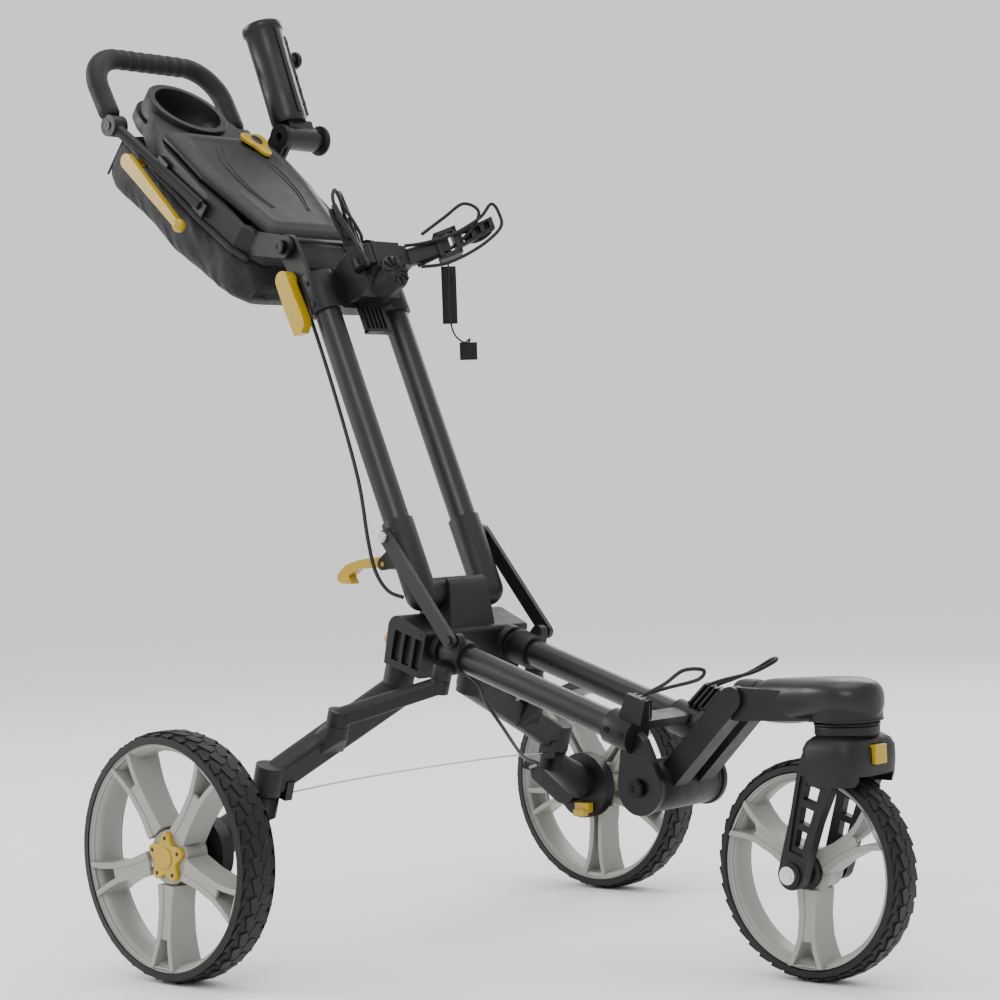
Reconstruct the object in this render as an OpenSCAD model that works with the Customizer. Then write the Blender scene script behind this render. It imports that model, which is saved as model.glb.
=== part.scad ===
/* [Wheels] */
// Outside diameter of each rear tyre
rear_d = 262; // [250:1:270]
// Outside diameter of the front tyre
front_d = 223; // [215:1:228]
// Width of a rear tyre
rear_w = 46; // [42:1:50]
// Width of the front tyre
front_w = 42; // [36:1:46]
// Distance between the middle planes of the rear tyres
track = 680; // [672:2:690]
// Distance from the rear axles to the front axle
wheelbase = 570; // [568:1:574]

/* [Frame] */
// Diameter of the frame tubes
tube_d = 30; // [28:0.5:31]
// Distance between the centres of a pair of tubes
tube_gap = 106; // [105:0.5:107]
// Lean of the upper tubes back from upright
frame_lean = 22.6; // [21:0.1:24]
// Downward slope of the lower tubes
front_slope = 17.4; // [16.8:0.1:18]
// Length of the upper tubes above the main hinge
upper_len = 388; // [384:1:391]
// Length of the lower tubes ahead of the housing's middle
lower_len = 292; // [288:1:296]

/* [Console] */
// Pitch of the console above level
console_pitch = 40; // [38:1:42]
// Half width of the console lid
lid_half = 86; // [82:1:88]
// Inside radius of the cup holder
cup_r = 43; // [38:0.5:44]
// Half width of the handle loop at its centre line
handle_half = 98; // [96:1:102]
// Bore radius of the umbrella holder
umbrella_bore = 18; // [14:0.5:19]

/* [Hidden] */
$fn = 48;
rear_r = rear_d / 2;
front_r = front_d / 2;
tube_r = tube_d / 2;
tube_y = tube_gap / 2;
wall = 2;
fit = 0.05;                  // radial room round a pin or a tube
hinge = [83, 0, 386];        // axis of the main fold, ahead of the rear axles
knee = [104, 0, 330.7];      // where the lines of the two pairs of tubes cross
rise = hinge - knee;
barrel = [rise.x * cos(front_slope) - rise.z * sin(front_slope), 0,
    rise.x * sin(front_slope) + rise.z * cos(front_slope)];
swivel_x = wheelbase + 43;   // upright axis of the front fork
fpivot = [389, 0, 189];      // axis of the folding front arm
pivot_up = [-16.4, 437];     // console pivot, ahead of and along the upper tubes
axle_r = 6;
bearing_r = 14;
rim_rear = rear_r * 0.907;
rim_front = front_r * 0.881;
hub_y = track / 2;
fork_in = 31;
fork_out = 45;
rear_most = -424;            // the back of the handle loop
mid_x = (rear_most + wheelbase + front_r) / 2;
strut_top = 70.6;            // strut bolt above the main hinge, along the tubes
strut_foot = [40, 20];       // strut foot, along and above the lower tubes
leg_pin = [-40, 60];         // leg pivot, along and across the lower tubes
knuckle = [-39, 231];        // hub carrier pivot, along and across
clamp_at = [-24, 158];       // where the link meets the leg
link_at = [36, 76];          // where the link meets the sliding sleeve
cup_at = -308;               // cup holder's centre, up the console from its pivot
cup_out = cup_r + 9;
tray_half = 94;
mount_at = [-236, 8];        // umbrella holder's pivot on the console
umb_y = 113;                 // umbrella holder's centre line, out from the middle
umb_lean = 60;               // umbrella holder, back from square to the console
arm_pin = [54, 27];          // cradle arm pivot, ahead of and across the upper tubes

black = "#1b1d1e";
charcoal = "#2a2c2d";
rubber = "#141516";
grey = "#8c8d86";
yellow = "#f2cf30";
steel = "#b9bcbf";
cloth = "#17181a";

// Frames: the whole trolley, the upper tubes, the lower tubes, the console
module placed() { translate([-mid_x, 0, 0]) children(); }
module at_upper() { placed() translate(hinge) rotate([0, -frame_lean, 0]) children(); }
module at_lower() { placed() translate(knee) rotate([0, front_slope, 0]) children(); }
module at_pivot() { at_upper() translate([pivot_up.x, 0, pivot_up.y]) children(); }
module at_console() { at_pivot() rotate([0, frame_lean + console_pitch, 0]) children(); }
module both_sides() { children(); right_side() children(); }
module right_side() { mirror([0, 1, 0]) children(); }

// Round bars along Y, Z and X, a box between corners, and a bar between points
module ybar(r, y0, y1) { translate([0, y1, 0]) rotate([90, 0, 0]) cylinder(r = r, h = y1 - y0); }
module zbar(r, z0, z1) { translate([0, 0, z0]) cylinder(r = r, h = z1 - z0); }
module xbar(r, x0, x1) { translate([x0, 0, 0]) rotate([0, 90, 0]) cylinder(r = r, h = x1 - x0); }
module box(a, b) { translate(a) cube(b - a); }
module aim(a, b) {
    d = b - a;
    translate(a) rotate([0, acos(d.z / norm(d)), atan2(d.y, d.x)]) children();
}
module rod(a, b, r) { aim(a, b) cylinder(r = r, h = norm(b - a)); }
// A plate in the XZ plane, from y0 to y1, over an outline of points [x, z]
module plate(y0, y1) { translate([0, y1, 0]) rotate([90, 0, 0]) linear_extrude(y1 - y0) children(); }

// A plain round cord swept through points; closed at both ends
function cord_dir(p, i) =
    let (a = p[max(i - 1, 0)], b = p[min(i + 1, len(p) - 1)]) (b - a) / norm(b - a);
function cord_side(d) = let (c = cross(d, abs(d.z) > 0.9 ? [1, 0, 0] : [0, 0, 1])) c / norm(c);
module cord(p, r, n = 8) {
    m = len(p);
    pts = [for (i = [0:m - 1]) let (d = cord_dir(p, i), s = cord_side(d), t = cross(s, d))
        for (k = [0:n - 1]) p[i] + r * (cos(360 * k / n) * s + sin(360 * k / n) * t)];
    walls = [for (i = [0:m - 2]) for (k = [0:n - 1])
        [i * n + k, i * n + (k + 1) % n, (i + 1) * n + (k + 1) % n, (i + 1) * n + k]];
    ends = [[for (k = [n - 1:-1:0]) k], [for (k = [0:n - 1]) (m - 1) * n + k]];
    polyhedron(pts, concat(walls, ends), convexity = 6);
}
// Points on a smooth curve through hand-set points, k steps to each stretch
function smooth_at(p, i, t) =
    let (n = len(p) - 1, a = p[max(i - 1, 0)], b = p[i], c = p[min(i + 1, n)], d = p[min(i + 2, n)])
    0.5 * (2 * b + (c - a) * t + (2 * a - 5 * b + 4 * c - d) * t * t
        + (3 * b - a - 3 * c + d) * t * t * t);
function smooth(p, k) = concat([for (i = [0:len(p) - 2]) for (j = [0:k - 1]) smooth_at(p, i, j / k)],
    [p[len(p) - 1]]);

// ---- lower frame: housing, tubes, sleeves (X along the tubes, Z square to them) ----
house_back = -50;
house_front = 8;
house_top = 24;
house_low = -34;
house_half = 82;
saddle_half = 30;
button_at = [-66, -9];       // release button on the housing's rear face, across and up

module main_housing() {
    color(black) at_lower() difference() {
        union() {
            hull() {
                translate([house_back + 14, 0, house_top - 14]) ybar(14, -house_half, house_half, $fn = 32);
                translate([house_front - 5, 0, house_top - 10]) ybar(5, -house_half, house_half, $fn = 32);
                box([house_back + 2, -house_half + 2, house_low], [house_front, house_half - 2, house_low + 4]);
            }
            // neck that cradles the yoke's barrel
            hull() {
                translate(barrel) ybar(24, -saddle_half, saddle_half, $fn = 32);
                box([barrel.x - 10, -saddle_half - 6, 0], [barrel.x + 40, saddle_half + 6, 10]);
            }
            both_sides() translate([0, tube_y, 0]) xbar(tube_r + 4, 0, house_front + 8);
        }
        // the barrel's seat, open above
        translate(barrel) ybar(18.3, -house_half, house_half);
        translate(barrel) rotate([0, -front_slope - 10, 0])
            box([-18.3, -saddle_half - 1, 0], [18.3, saddle_half + 1, 40]);
        both_sides() translate([0, tube_y, 0]) xbar(tube_r + fit, -32, house_front + 9);
        both_sides() translate([leg_pin.x, leg_pin.y, 0]) zbar(5 + fit, house_low - 1, -21);
        translate([0, button_at.x, button_at.y]) xbar(8.3, house_back - 1, house_back + 9);
        // ribbed recesses in the two side faces
        for (x = [-38, -22, -6]) both_sides() box([x, house_half - 5, -26], [x + 11, house_half + 1, 8]);
    }
}
module lower_tubes() {
    color(charcoal) at_lower() both_sides() translate([0, tube_y, 0]) difference() {
        xbar(tube_r, -30, lower_len);
        xbar(tube_r - wall, -31, lower_len + 1);
    }
}
module leg_pins() {
    color(steel) at_lower() both_sides() translate([leg_pin.x, leg_pin.y, 0]) {
        zbar(5, -72, -22);
        zbar(9, -75, -71);
    }
}
module release_button() {
    color(yellow) at_lower() translate([0, button_at.x, button_at.y]) xbar(8, house_back - 10, house_back + 4);
}
module strut_sleeves() {
    color(black) at_lower() both_sides() difference() {
        union() {
            translate([0, tube_y, 0]) xbar(tube_r + 4.5, 24, 50);
            // ear that the strut's foot bolts to
            hull() {
                translate([strut_foot.x, 0, strut_foot.y]) ybar(8, 62, 72, $fn = 32);
                box([28, 58, 6], [50, 70, 8]);
            }
            // boss that the leg's link turns on
            translate([link_at.x, link_at.y, 0]) zbar(11, -24, -8);
            box([27, tube_y, -18], [45, link_at.y, -10]);
        }
        translate([0, tube_y, 0]) xbar(tube_r + 0.3, 20, 60);
        translate([link_at.x, link_at.y, 0]) zbar(4 + fit, -30, -10);
    }
}
// Channel-shaped link from the sleeve out and down to the leg
module link_bar() {
    p = [link_at.x, link_at.y, -31];
    q = [clamp_at.x, clamp_at.y, -83];
    translate([link_at.x, link_at.y, 0]) zbar(11, -40, -24.6);
    translate([link_at.x, link_at.y, 0]) zbar(4, -26, -12);
    translate([clamp_at.x, clamp_at.y, 0]) zbar(13, -90, -74);
    hull() {
        translate(p) zbar(9, -7, 5, $fn = 32);
        translate(q) zbar(11, -5, 7, $fn = 32);
    }
}
module link_left() { color(charcoal) at_lower() link_bar(); }
module link_right() { color(charcoal) at_lower() right_side() link_bar(); }

// ---- rear legs and hub carriers ----
module leg_arm() {
    top = [leg_pin.x, leg_pin.y, -54];
    foot = [knuckle.x, knuckle.y, -150];
    difference() {
        union() {
            translate([leg_pin.x, leg_pin.y, 0]) zbar(17, -70, -35);
            hull() {
                translate(top) zbar(16, -24, -2, $fn = 32);
                translate(foot - [0, 8, 0]) zbar(13, -11, 13, $fn = 32);
            }
            translate([knuckle.x, knuckle.y, 0]) zbar(16, -165, -134);
            // seat for the link's end
            hull() {
                translate([clamp_at.x, clamp_at.y, 0]) zbar(13, -104, -90.5, $fn = 32);
                box([-52, 140, -124], [-26, 176, -120]);
            }
            // anchor for the brake wire
            box([-42, 206, -171], [-24, 216, -150]);
        }
        // room over the seat for the link to turn
        box([-62, 126, -90.4], [10, 190, -50]);
        translate([leg_pin.x, leg_pin.y, 0]) zbar(5 + fit, -80, -30);
        translate([leg_pin.x, leg_pin.y, 0]) zbar(9.3, -80, -70.9);
        translate([knuckle.x, knuckle.y, 0]) zbar(5 + fit, -170, -140);
    }
}
module leg_left() { color(charcoal) at_lower() leg_arm(); }
module leg_right() { color(charcoal) at_lower() right_side() leg_arm(); }

module hub_carrier() {
    translate(knee) rotate([0, front_slope, 0]) {
        translate([knuckle.x, knuckle.y, 0]) zbar(5, -170, -142);
        translate([knuckle.x, knuckle.y, 0]) zbar(15, -190, -165.6);
        hull() {
            translate([knuckle.x, knuckle.y, 0]) zbar(13, -190, -172, $fn = 32);
            translate([-40, 292, -216]) ybar(20, -6, 6, $fn = 32);
        }
    }
    // brake housing with its cable stop, behind the wheel's hub
    translate([0, 0, rear_r]) ybar(40, 298, 313);
    hull() {
        translate([-58, 0, rear_r + 14]) ybar(10, 280, 304, $fn = 32);
        translate([-20, 0, rear_r]) ybar(22, 284, 304, $fn = 32);
    }
    translate([-58, 287, rear_r + 18]) rod([0, 0, 0], [-18, -10, 7], 5);
    translate([0, 0, rear_r]) ybar(axle_r, 300, hub_y + 6);
}
module hub_carrier_left() { color(black) placed() hub_carrier(); }
module hub_carrier_right() { color(black) placed() right_side() hub_carrier(); }
// Yellow tab that frees the wheel from its axle
module release_tab() {
    translate([6, 0, rear_r - 22]) {
        box([-10, 288, -10], [12, 297.5, 2]);
        box([-8, 282, -14], [10, 290, -6]);
    }
}
module release_tab_left() { color(yellow) placed() release_tab(); }
module release_tab_right() { color(yellow) placed() right_side() release_tab(); }

// ---- wheels ----
// Tyre about the Y axis: a crowned tread on straight side walls
module tyre(r, rim, w) {
    rotate([90, 0, 0]) rotate_extrude($fn = 96) intersection() {
        translate([rim, -w / 2]) square([r - rim, w]);
        translate([r - w * 0.78, 0]) circle(r = w * 0.78, $fn = 64);
    }
}
// Rim about the Y axis, outer face towards -Y: barrel, hub and boxed spokes
module rim(r, w, hub, spokes, phase, dish) {
    face = -w / 2 + 2;
    difference() {
        union() {
            difference() {
                ybar(r - fit, face, -face, $fn = 96);
                ybar(r - 6, face - 1, 1 - face, $fn = 96);
            }
            ybar(hub, face + dish, -face, $fn = 64);
            for (k = [0:spokes - 1]) rotate([0, -phase - k * 360 / spokes, 0]) {
                // face of the spoke, slotted near the barrel
                plate(face + dish - 4, face + dish + 3) polygon([[hub - 6, -12], [r * 0.6, -9],
                    [r - 5, -17], [r - 5, -11], [r * 0.7, -5], [r * 0.7, 5], [r - 5, 11],
                    [r - 5, 17], [r * 0.6, 9], [hub - 6, 12]]);
                // its two deep side walls
                for (s = [-1, 1]) plate(face + dish, 1 - face - 4) polygon([[hub - 6, s * 12],
                    [r * 0.6, s * 9], [r - 5, s * 17], [r - 5, s * 14], [r * 0.6, s * 6], [hub - 6, s * 9]]);
            }
        }
        ybar(bearing_r, face - 1, 1 - face);
        // seat for the hub's cap
        ybar(hub + 2.6, face - 1, face + dish);
    }
}
rear_spokes = 5;
rear_phase = 51;
front_phase = 29;
module rear_wheel_place() { placed() translate([0, hub_y, rear_r]) right_side() children(); }
module rear_rim() { rim(rim_rear, rear_w, 26, rear_spokes, rear_phase, 9); }
module rear_tyre_left() { color(rubber) rear_wheel_place() tyre(rear_r, rim_rear, rear_w); }
module rear_tyre_right() { color(rubber) right_side() rear_wheel_place() tyre(rear_r, rim_rear, rear_w); }
module rear_rim_left() { color(grey) rear_wheel_place() rear_rim(); }
module rear_rim_right() { color(grey) right_side() rear_wheel_place() rear_rim(); }
// Five-lobed cap over the hub, its lobes between the spokes
module hub_cap() {
    plate(-rear_w / 2 + 5, -rear_w / 2 + 10.9) rotate(rear_phase - 36)
        polygon([for (a = [0:4:356]) (22.5 + 5 * cos(rear_spokes * a)) * [cos(a), sin(a)]]);
}
module hub_cap_left() { color(yellow) rear_wheel_place() hub_cap(); }
module hub_cap_right() { color(yellow) right_side() rear_wheel_place() hub_cap(); }
module bearing(y0) {
    difference() {
        ybar(bearing_r - fit, y0, y0 + 7);
        ybar(axle_r + fit, y0 - 1, y0 + 8);
    }
}
module bearing_pair(w, front) {
    bearing(-w / 2 + front);
    bearing(w / 2 - 10);
}
module rear_bearings_left() { color(steel) rear_wheel_place() bearing_pair(rear_w, 13); }
module rear_bearings_right() { color(steel) right_side() rear_wheel_place() bearing_pair(rear_w, 13); }

module front_wheel_place() { placed() translate([wheelbase, 0, front_r]) children(); }
module front_tyre() { color(rubber) front_wheel_place() tyre(front_r, rim_front, front_w); }
module front_rim() {
    color(grey) front_wheel_place() rim(rim_front, front_w, 22, 3, front_phase, 6);
}
module front_bearings() { color(steel) front_wheel_place() bearing_pair(front_w, 9); }
module front_axle() {
    color(steel) front_wheel_place() {
        ybar(axle_r, -fork_out - 1, fork_out + 1);
        both_sides() ybar(9, fork_out + 0.2, fork_out + 5);
    }
}

// ---- front end ----
head_r = 36;
head_z = 262;
arm_z = 278;
module front_arm() {
    color(black) placed() difference() {
        union() {
            // drum on the fold axis, twin square arms, level arm and swivel head
            translate(fpivot) ybar(27, -43.4, 43.4, $fn = 64);
            both_sides() hull() {
                translate([fpivot.x + 10, 0, fpivot.z + 2]) ybar(13, 9, 32, $fn = 32);
                translate([492, 0, arm_z + 3]) ybar(13, 9, 32, $fn = 32);
            }
            translate([0, 0, arm_z]) xbar(20, 488, swivel_x - 34);
            hull() {
                translate([496, 0, arm_z - 2]) ybar(17, -27, 27, $fn = 32);
                translate([swivel_x - 30, 0, arm_z - 2]) ybar(14, -24, 24, $fn = 32);
            }
            translate([swivel_x, 0, 0]) zbar(head_r, head_z, arm_z + 11, $fn = 64);
        }
        translate(fpivot) ybar(6 + fit, -60, 60);
        translate([swivel_x, 0, 0]) zbar(10 + fit, 250, arm_z);
    }
}
// Hood over the level arm and the swivel head
module swivel_cap() {
    color(charcoal) placed() hull() {
        translate([swivel_x, 0, 0]) zbar(head_r, arm_z + 20.2, arm_z + 21, $fn = 48);
        translate([swivel_x - 4, 0, 0]) zbar(head_r - 10, arm_z + 23, arm_z + 26, $fn = 32);
        box([516, -14, arm_z + 20.2], [530, 14, arm_z + 21]);
    }
    color(charcoal) placed() translate([swivel_x, 0, 0]) difference() {
        zbar(head_r, arm_z + 11.1, arm_z + 20.5, $fn = 48);
        box([-head_r - 1, -24.3, 0], [1, 24.3, 300]);
    }
}
module front_pivot_bolt() {
    color(steel) placed() translate(fpivot) {
        ybar(6, -57, 57);
        both_sides() ybar(9, 56.6, 60);
    }
}
crown_z = 248;
module front_fork() {
    color(black) placed() difference() {
        union() {
            // crown: a block with rounded corners, arched over the wheel
            hull() {
                both_sides() {
                    translate([swivel_x + 26, fork_out - 11, 0]) zbar(11, 206, 240, $fn = 32);
                    translate([swivel_x - 22, fork_out - 9, 0]) zbar(9, 222, 240, $fn = 32);
                }
                translate([swivel_x + 2, 0, 0]) zbar(33, 240, crown_z, $fn = 32);
            }
            translate([swivel_x, 0, 0]) zbar(32.5, crown_z - 2, head_z - 0.5, $fn = 64);
            translate([swivel_x, 0, 0]) zbar(10, 250, arm_z - 2);
            both_sides() plate(fork_in, fork_out) hull() {
                translate([wheelbase, front_r]) circle(r = 13, $fn = 32);
                polygon([[swivel_x - 26, 236], [swivel_x + 18, 236], [swivel_x + 16, 212], [swivel_x - 30, 212]]);
            }
        }
        translate([wheelbase, 0, front_r]) ybar(front_r + 6, -fork_in, fork_in, $fn = 96);
        translate([wheelbase, 0, front_r]) ybar(axle_r + fit, -60, 60);
        // windows down each leg
        for (k = [0:2]) translate([wheelbase, 0, front_r]) rotate([0, 18, 0])
            box([-4 - k, -60, 30 + 24 * k], [5 + k, 60, 46 + 25 * k]);
        // well for the lock button
        box([swivel_x + 22, -10, 220], [swivel_x + 40, 10, 240]);
    }
}
module lock_button() {
    color(yellow) placed() box([swivel_x + 27, -9.6, 220.4], [swivel_x + 40, 9.6, 239.6]);
}

// ---- bracket at the foot of the lower tubes ----
cheek = [44, 50];            // near and far faces of each cheek of the bracket
module teardrop(r) {
    hull() {
        translate([fpivot.x, fpivot.z]) circle(r = r, $fn = 48);
        polygon([[368, 244], [396, 238], [384, 250]]);
    }
}
module lower_bracket() {
    color(black) difference() {
        union() {
            at_lower() both_sides() translate([0, tube_y, 0]) xbar(tube_r + 4, 262, lower_len + 4);
            at_lower() box([268, -tube_y, 4], [lower_len, tube_y, 13]);
            placed() both_sides() plate(cheek.x, cheek.y) teardrop(27);
        }
        at_lower() both_sides() translate([0, tube_y, 0]) xbar(tube_r + fit, 240, lower_len + 0.1);
        placed() translate(fpivot) ybar(6 + fit, -90, 90);
    }
}
module bracket_covers() {
    color(charcoal) placed() both_sides() difference() {
        plate(cheek.y + 0.1, cheek.y + 6) teardrop(29);
        translate(fpivot) ybar(6 + fit, 40, 90);
        translate(knee) rotate([0, front_slope, 0]) translate([0, tube_y, 0])
            xbar(tube_r + 4.2, 255, lower_len + 4.1);
    }
}
// Ribbed pads that the foot of the golf bag rests between
module lower_cradle() {
    color(black) at_lower() both_sides() difference() {
        cradle_pad();
        translate([0, tube_y, 0]) xbar(tube_r + 4.1, 255, 320);
    }
}
module cradle_pad() {
    union() {
        hull() {
            translate([276, 50, 12]) cube([30, 14, 9]);
            translate([284, 62, 40]) cube([26, 8, 4]);
        }
        for (k = [0:3]) hull() {
            translate([279 + 7 * k, 44, 19.5]) cube([3, 8, 3]);
            translate([286 + 6.5 * k, 56, 41]) cube([3, 8, 3]);
        }
    }
}

// ---- upper frame (Z along the tubes, X square to them, forward) ----
latch_at = [-30, 50];        // fold latch's pin, behind and along the tubes
module upper_yoke() {
    color(black) at_upper() difference() {
        union() {
            ybar(18, -tube_y, tube_y);
            both_sides() translate([0, tube_y, 0]) {
                zbar(18, 0, 88);
                sphere(r = 18);
                translate([0, 0, strut_top]) ybar(9, 10, 21.5);
            }
            // lugs for the fold latch
            for (y = [-66, -49]) hull() {
                translate([latch_at.x, 0, latch_at.y]) ybar(7, y, y + 4, $fn = 32);
                box([-12, y, latch_at.y - 12], [-10, y + 4, latch_at.y + 12]);
            }
        }
        both_sides() translate([0, tube_y, 0]) zbar(tube_r + fit, 24, 89);
        both_sides() translate([0, tube_y, strut_top]) ybar(3 + fit, 15.2, 30);
        translate([latch_at.x, 0, latch_at.y]) ybar(3 + fit, -70, -40);
    }
}
module upper_tubes() {
    color(charcoal) at_upper() both_sides() translate([0, tube_y, 0]) difference() {
        zbar(tube_r, 24.5, upper_len);
        zbar(tube_r - wall, 24, upper_len + 1);
    }
}
module strut_bolts() {
    color(steel) at_upper() both_sides() translate([0, tube_y, strut_top]) {
        ybar(3, 15.5, 29);
        ybar(6, 28.4, 31);
    }
}
// Flat strut from the yoke down to the sleeve
strut_head_at = [hinge.x - strut_top * sin(frame_lean), hinge.z + strut_top * cos(frame_lean)];
strut_foot_at = [knee.x + strut_foot.x * cos(front_slope) + strut_foot.y * sin(front_slope),
    knee.z - strut_foot.x * sin(front_slope) + strut_foot.y * cos(front_slope)];
module strut() {
    difference() {
        union() {
            plate(75.2, 81) hull() {
                translate(strut_head_at) circle(r = 8, $fn = 32);
                translate(strut_foot_at) circle(r = 8, $fn = 32);
            }
            translate([strut_foot_at.x, 0, strut_foot_at.y]) ybar(5.5, 81, 84);
        }
        translate([strut_head_at.x, 0, strut_head_at.y]) ybar(3 + fit, 70, 90);
    }
}
module strut_left() { color(charcoal) placed() strut(); }
module strut_right() { color(charcoal) placed() right_side() strut(); }
// Hooked catch that holds the frame shut when it is folded
module fold_latch() {
    color(yellow) at_upper() translate([latch_at.x, 0, latch_at.y]) {
        ybar(3, -65.5, -45.5);
        rotate([0, 31, 0]) plate(-61.6, -49.4) polygon([[4, 6], [-8, 7], [-40, -1], [-62, -10], [-74, -22], [-74, -29],
            [-66, -32], [-50, -30], [-56, -22], [-46, -14], [-30, -9], [-10, -6], [4, -6]]);
    }
}
bracket_top = 392;
module upper_bracket() {
    color(black) at_upper() difference() {
        union() {
            both_sides() translate([0, tube_y, 0]) zbar(tube_r + 4, 346, bracket_top);
            box([-4, -tube_y, 346], [14, tube_y, bracket_top]);
            // block that carries the cradle arms, and its tab
            hull() {
                box([8, -34, 352], [12, 34, bracket_top]);
                box([64, -22, 372], [68, 22, 404]);
                box([30, -30, 350], [36, 30, 406]);
            }
            box([12, -18, 314], [18, 18, 352]);
            // ears that carry the console
            both_sides() hull() {
                box([-20, 60, 360], [4, 66, 364]);
                translate([pivot_up.x, 0, pivot_up.y]) ybar(15, 60, 66, $fn = 32);
            }
            // cam posts for the angle levers
            both_sides() translate([-27, 0, 399]) ybar(6, 60, 73);
        }
        both_sides() translate([0, tube_y, 0]) zbar(tube_r + fit, 340, upper_len + 0.1);
        translate([pivot_up.x, 0, pivot_up.y]) ybar(5 + fit, -80, 80);
        both_sides() translate([arm_pin.x, arm_pin.y, 0]) zbar(14.4, 376, 420);
        both_sides() translate([arm_pin.x, arm_pin.y, 0]) zbar(4 + fit, 356, 420);
    }
}
// Padded arm that cradles the top of the golf bag
module cradle_arm() {
    root = [arm_pin.x, arm_pin.y, 388];
    tip = [116, 112, 408];
    translate([arm_pin.x, arm_pin.y, 0]) zbar(14, 376.5, 400);
    translate([arm_pin.x, arm_pin.y, 0]) zbar(4, 358, 377);
    hull() {
        translate(root) zbar(9, -8, 10, $fn = 32);
        translate(tip + [-14, -22, -2]) zbar(7, -20, 18, $fn = 32);
    }
    hull() {
        translate(tip + [-14, -22, -2]) zbar(8, -22, 20, $fn = 32);
        translate(tip + [6, 8, 0]) zbar(8, -25, 25, $fn = 32);
    }
}
module cradle_arm_left() { color(black) at_upper() cradle_arm(); }
module cradle_arm_right() { color(black) at_upper() right_side() cradle_arm(); }
// Yellow cam lever that clamps the console's pitch
lever_top = [-27, 399];
module angle_lever() {
    translate([lever_top.x, 0, lever_top.y]) difference() {
        union() {
            ybar(11, 67, 80);
            plate(69, 81) polygon([[-10, 2], [10, 4], [11, -14], [14, -52], [12, -62], [4, -68],
                [-8, -66], [-10, -30]]);
        }
        ybar(6 + fit, 60, 73.1);
        ybar(12, 60, 66.9);
    }
}
module angle_lever_left() { color(yellow) at_upper() angle_lever(); }
module angle_lever_right() { color(yellow) at_upper() right_side() angle_lever(); }

// ---- console (-X runs up towards the handle, Z square to the lid) ----
tray_z = -13;
lid_pin = [-27, -8.4];       // the lid's hinge
module tray_outline(inset) {
    offset(delta = -inset) polygon([[-26, -60], [-26, 60], [-58, 86], [-120, tray_half],
        [-215, tray_half], [-258, 76], [-300, 58], [-300, -58], [-258, -76],
        [-215, -tray_half], [-120, -tray_half], [-58, -86]]);
}
module console_tray() {
    color(black) at_console() difference() {
        union() {
            translate([0, 0, -44]) linear_extrude(44 + tray_z) tray_outline(0);
            translate([cup_at, 0, 0]) zbar(cup_out + 5, -44, -32, $fn = 64);
            both_sides() hull() {
                ybar(13, 67, 74, $fn = 32);
                box([-50, 66, -40], [-40, 74, tray_z]);
            }
            // knuckles of the lid's hinge
            both_sides() translate([lid_pin.x, 0, lid_pin.y]) ybar(4, 52, 60);
            both_sides() box([-31, 52, -15], [-24, 60, -9]);
        }
        box([-236, -tray_half + 16, -40], [-62, tray_half - 16, 0]);
        ybar(5 + fit, -90, 90);
        ybar(16, -66.4, 66.4);
        // grooves that the handle's side bars lie in
        both_sides() rod([-115, tray_half + 1.4, -27.6], [knuckle_x, handle_half, grip_z], 7.1);
        translate([cup_at, 0, 0]) zbar(cup_out + 0.1, -60, 20, $fn = 64);
        translate([lid_pin.x, 0, lid_pin.y]) ybar(2 + fit, -70, 70);
    }
}
module cup_holder() {
    color(black) at_console() translate([cup_at, 0, 0]) difference() {
        zbar(cup_out, -50, -7, $fn = 64);
        zbar(cup_r, -51, -6, $fn = 64);
    }
}
knuckle_x = -305;
grip_z = -41;
module handle_frame() {
    color(black) at_console() both_sides() {
        rod([-120, tray_half + 1.5, -28], [knuckle_x, handle_half, grip_z], 7);
        for (x = [-120, -205]) box([x - 10, tray_half + 0.1, -38], [x + 10, tray_half + 5, -22]);
        translate([knuckle_x, handle_half, grip_z]) ybar(13, -10, 10);
    }
}
// Soft loop grip: two sides, two bends and the top bar
grip_r = 15;
grip_len = 103;
grip_tilt = 21.8;
bend = 48;
module handle_grip() {
    color(rubber) at_console() translate([knuckle_x, 0, grip_z]) rotate([0, grip_tilt, 0]) {
        both_sides() {
            translate([0, handle_half, 0]) xbar(grip_r, bend - grip_len, -13.2);
            translate([bend - grip_len, handle_half - bend, 0]) rotate([0, 0, 90])
                rotate_extrude(angle = 90) translate([bend, 0]) circle(r = grip_r);
        }
        translate([-grip_len, 0, 0]) ybar(grip_r, bend - handle_half, handle_half - bend);
    }
}
// Soft storage bag that hangs under the console
module storage_bag() {
    color(cloth) at_console() plate(-78, 78) polygon([[-292, -56], [-308, -98], [-306, -120], [-262, -118],
        [-212, -114], [-160, -116], [-92, -108], [-40, -100], [-12, -92], [-4, -78], [-14, -60],
        [-30, -45.5], [-238, -45.5], [-250, -56]]);
}
module umbrella_mount() {
    color(black) at_console() difference() {
        union() {
            box([mount_at.x - 16, tray_half + 0.1, -40], [mount_at.x + 16, tray_half + 5, 8]);
            translate([mount_at.x, 0, mount_at.y]) ybar(16, tray_half - 6, tray_half + 5);
            box([mount_at.x - 14, tray_half - 6, tray_z + 0.1], [mount_at.x + 14, tray_half + 1, mount_at.y]);
        }
        translate([mount_at.x, 0, mount_at.y]) ybar(5 + fit, 60, 130);
        // room for the handle's side bar
        rod([-110, tray_half + 1.5, -27], [knuckle_x, handle_half, grip_z], 7.6);
    }
}
module console_bolts() {
    color(steel) at_pivot() both_sides() {
        ybar(5, 56, 78);
        ybar(8, 74.4, 78);
    }
}
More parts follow.
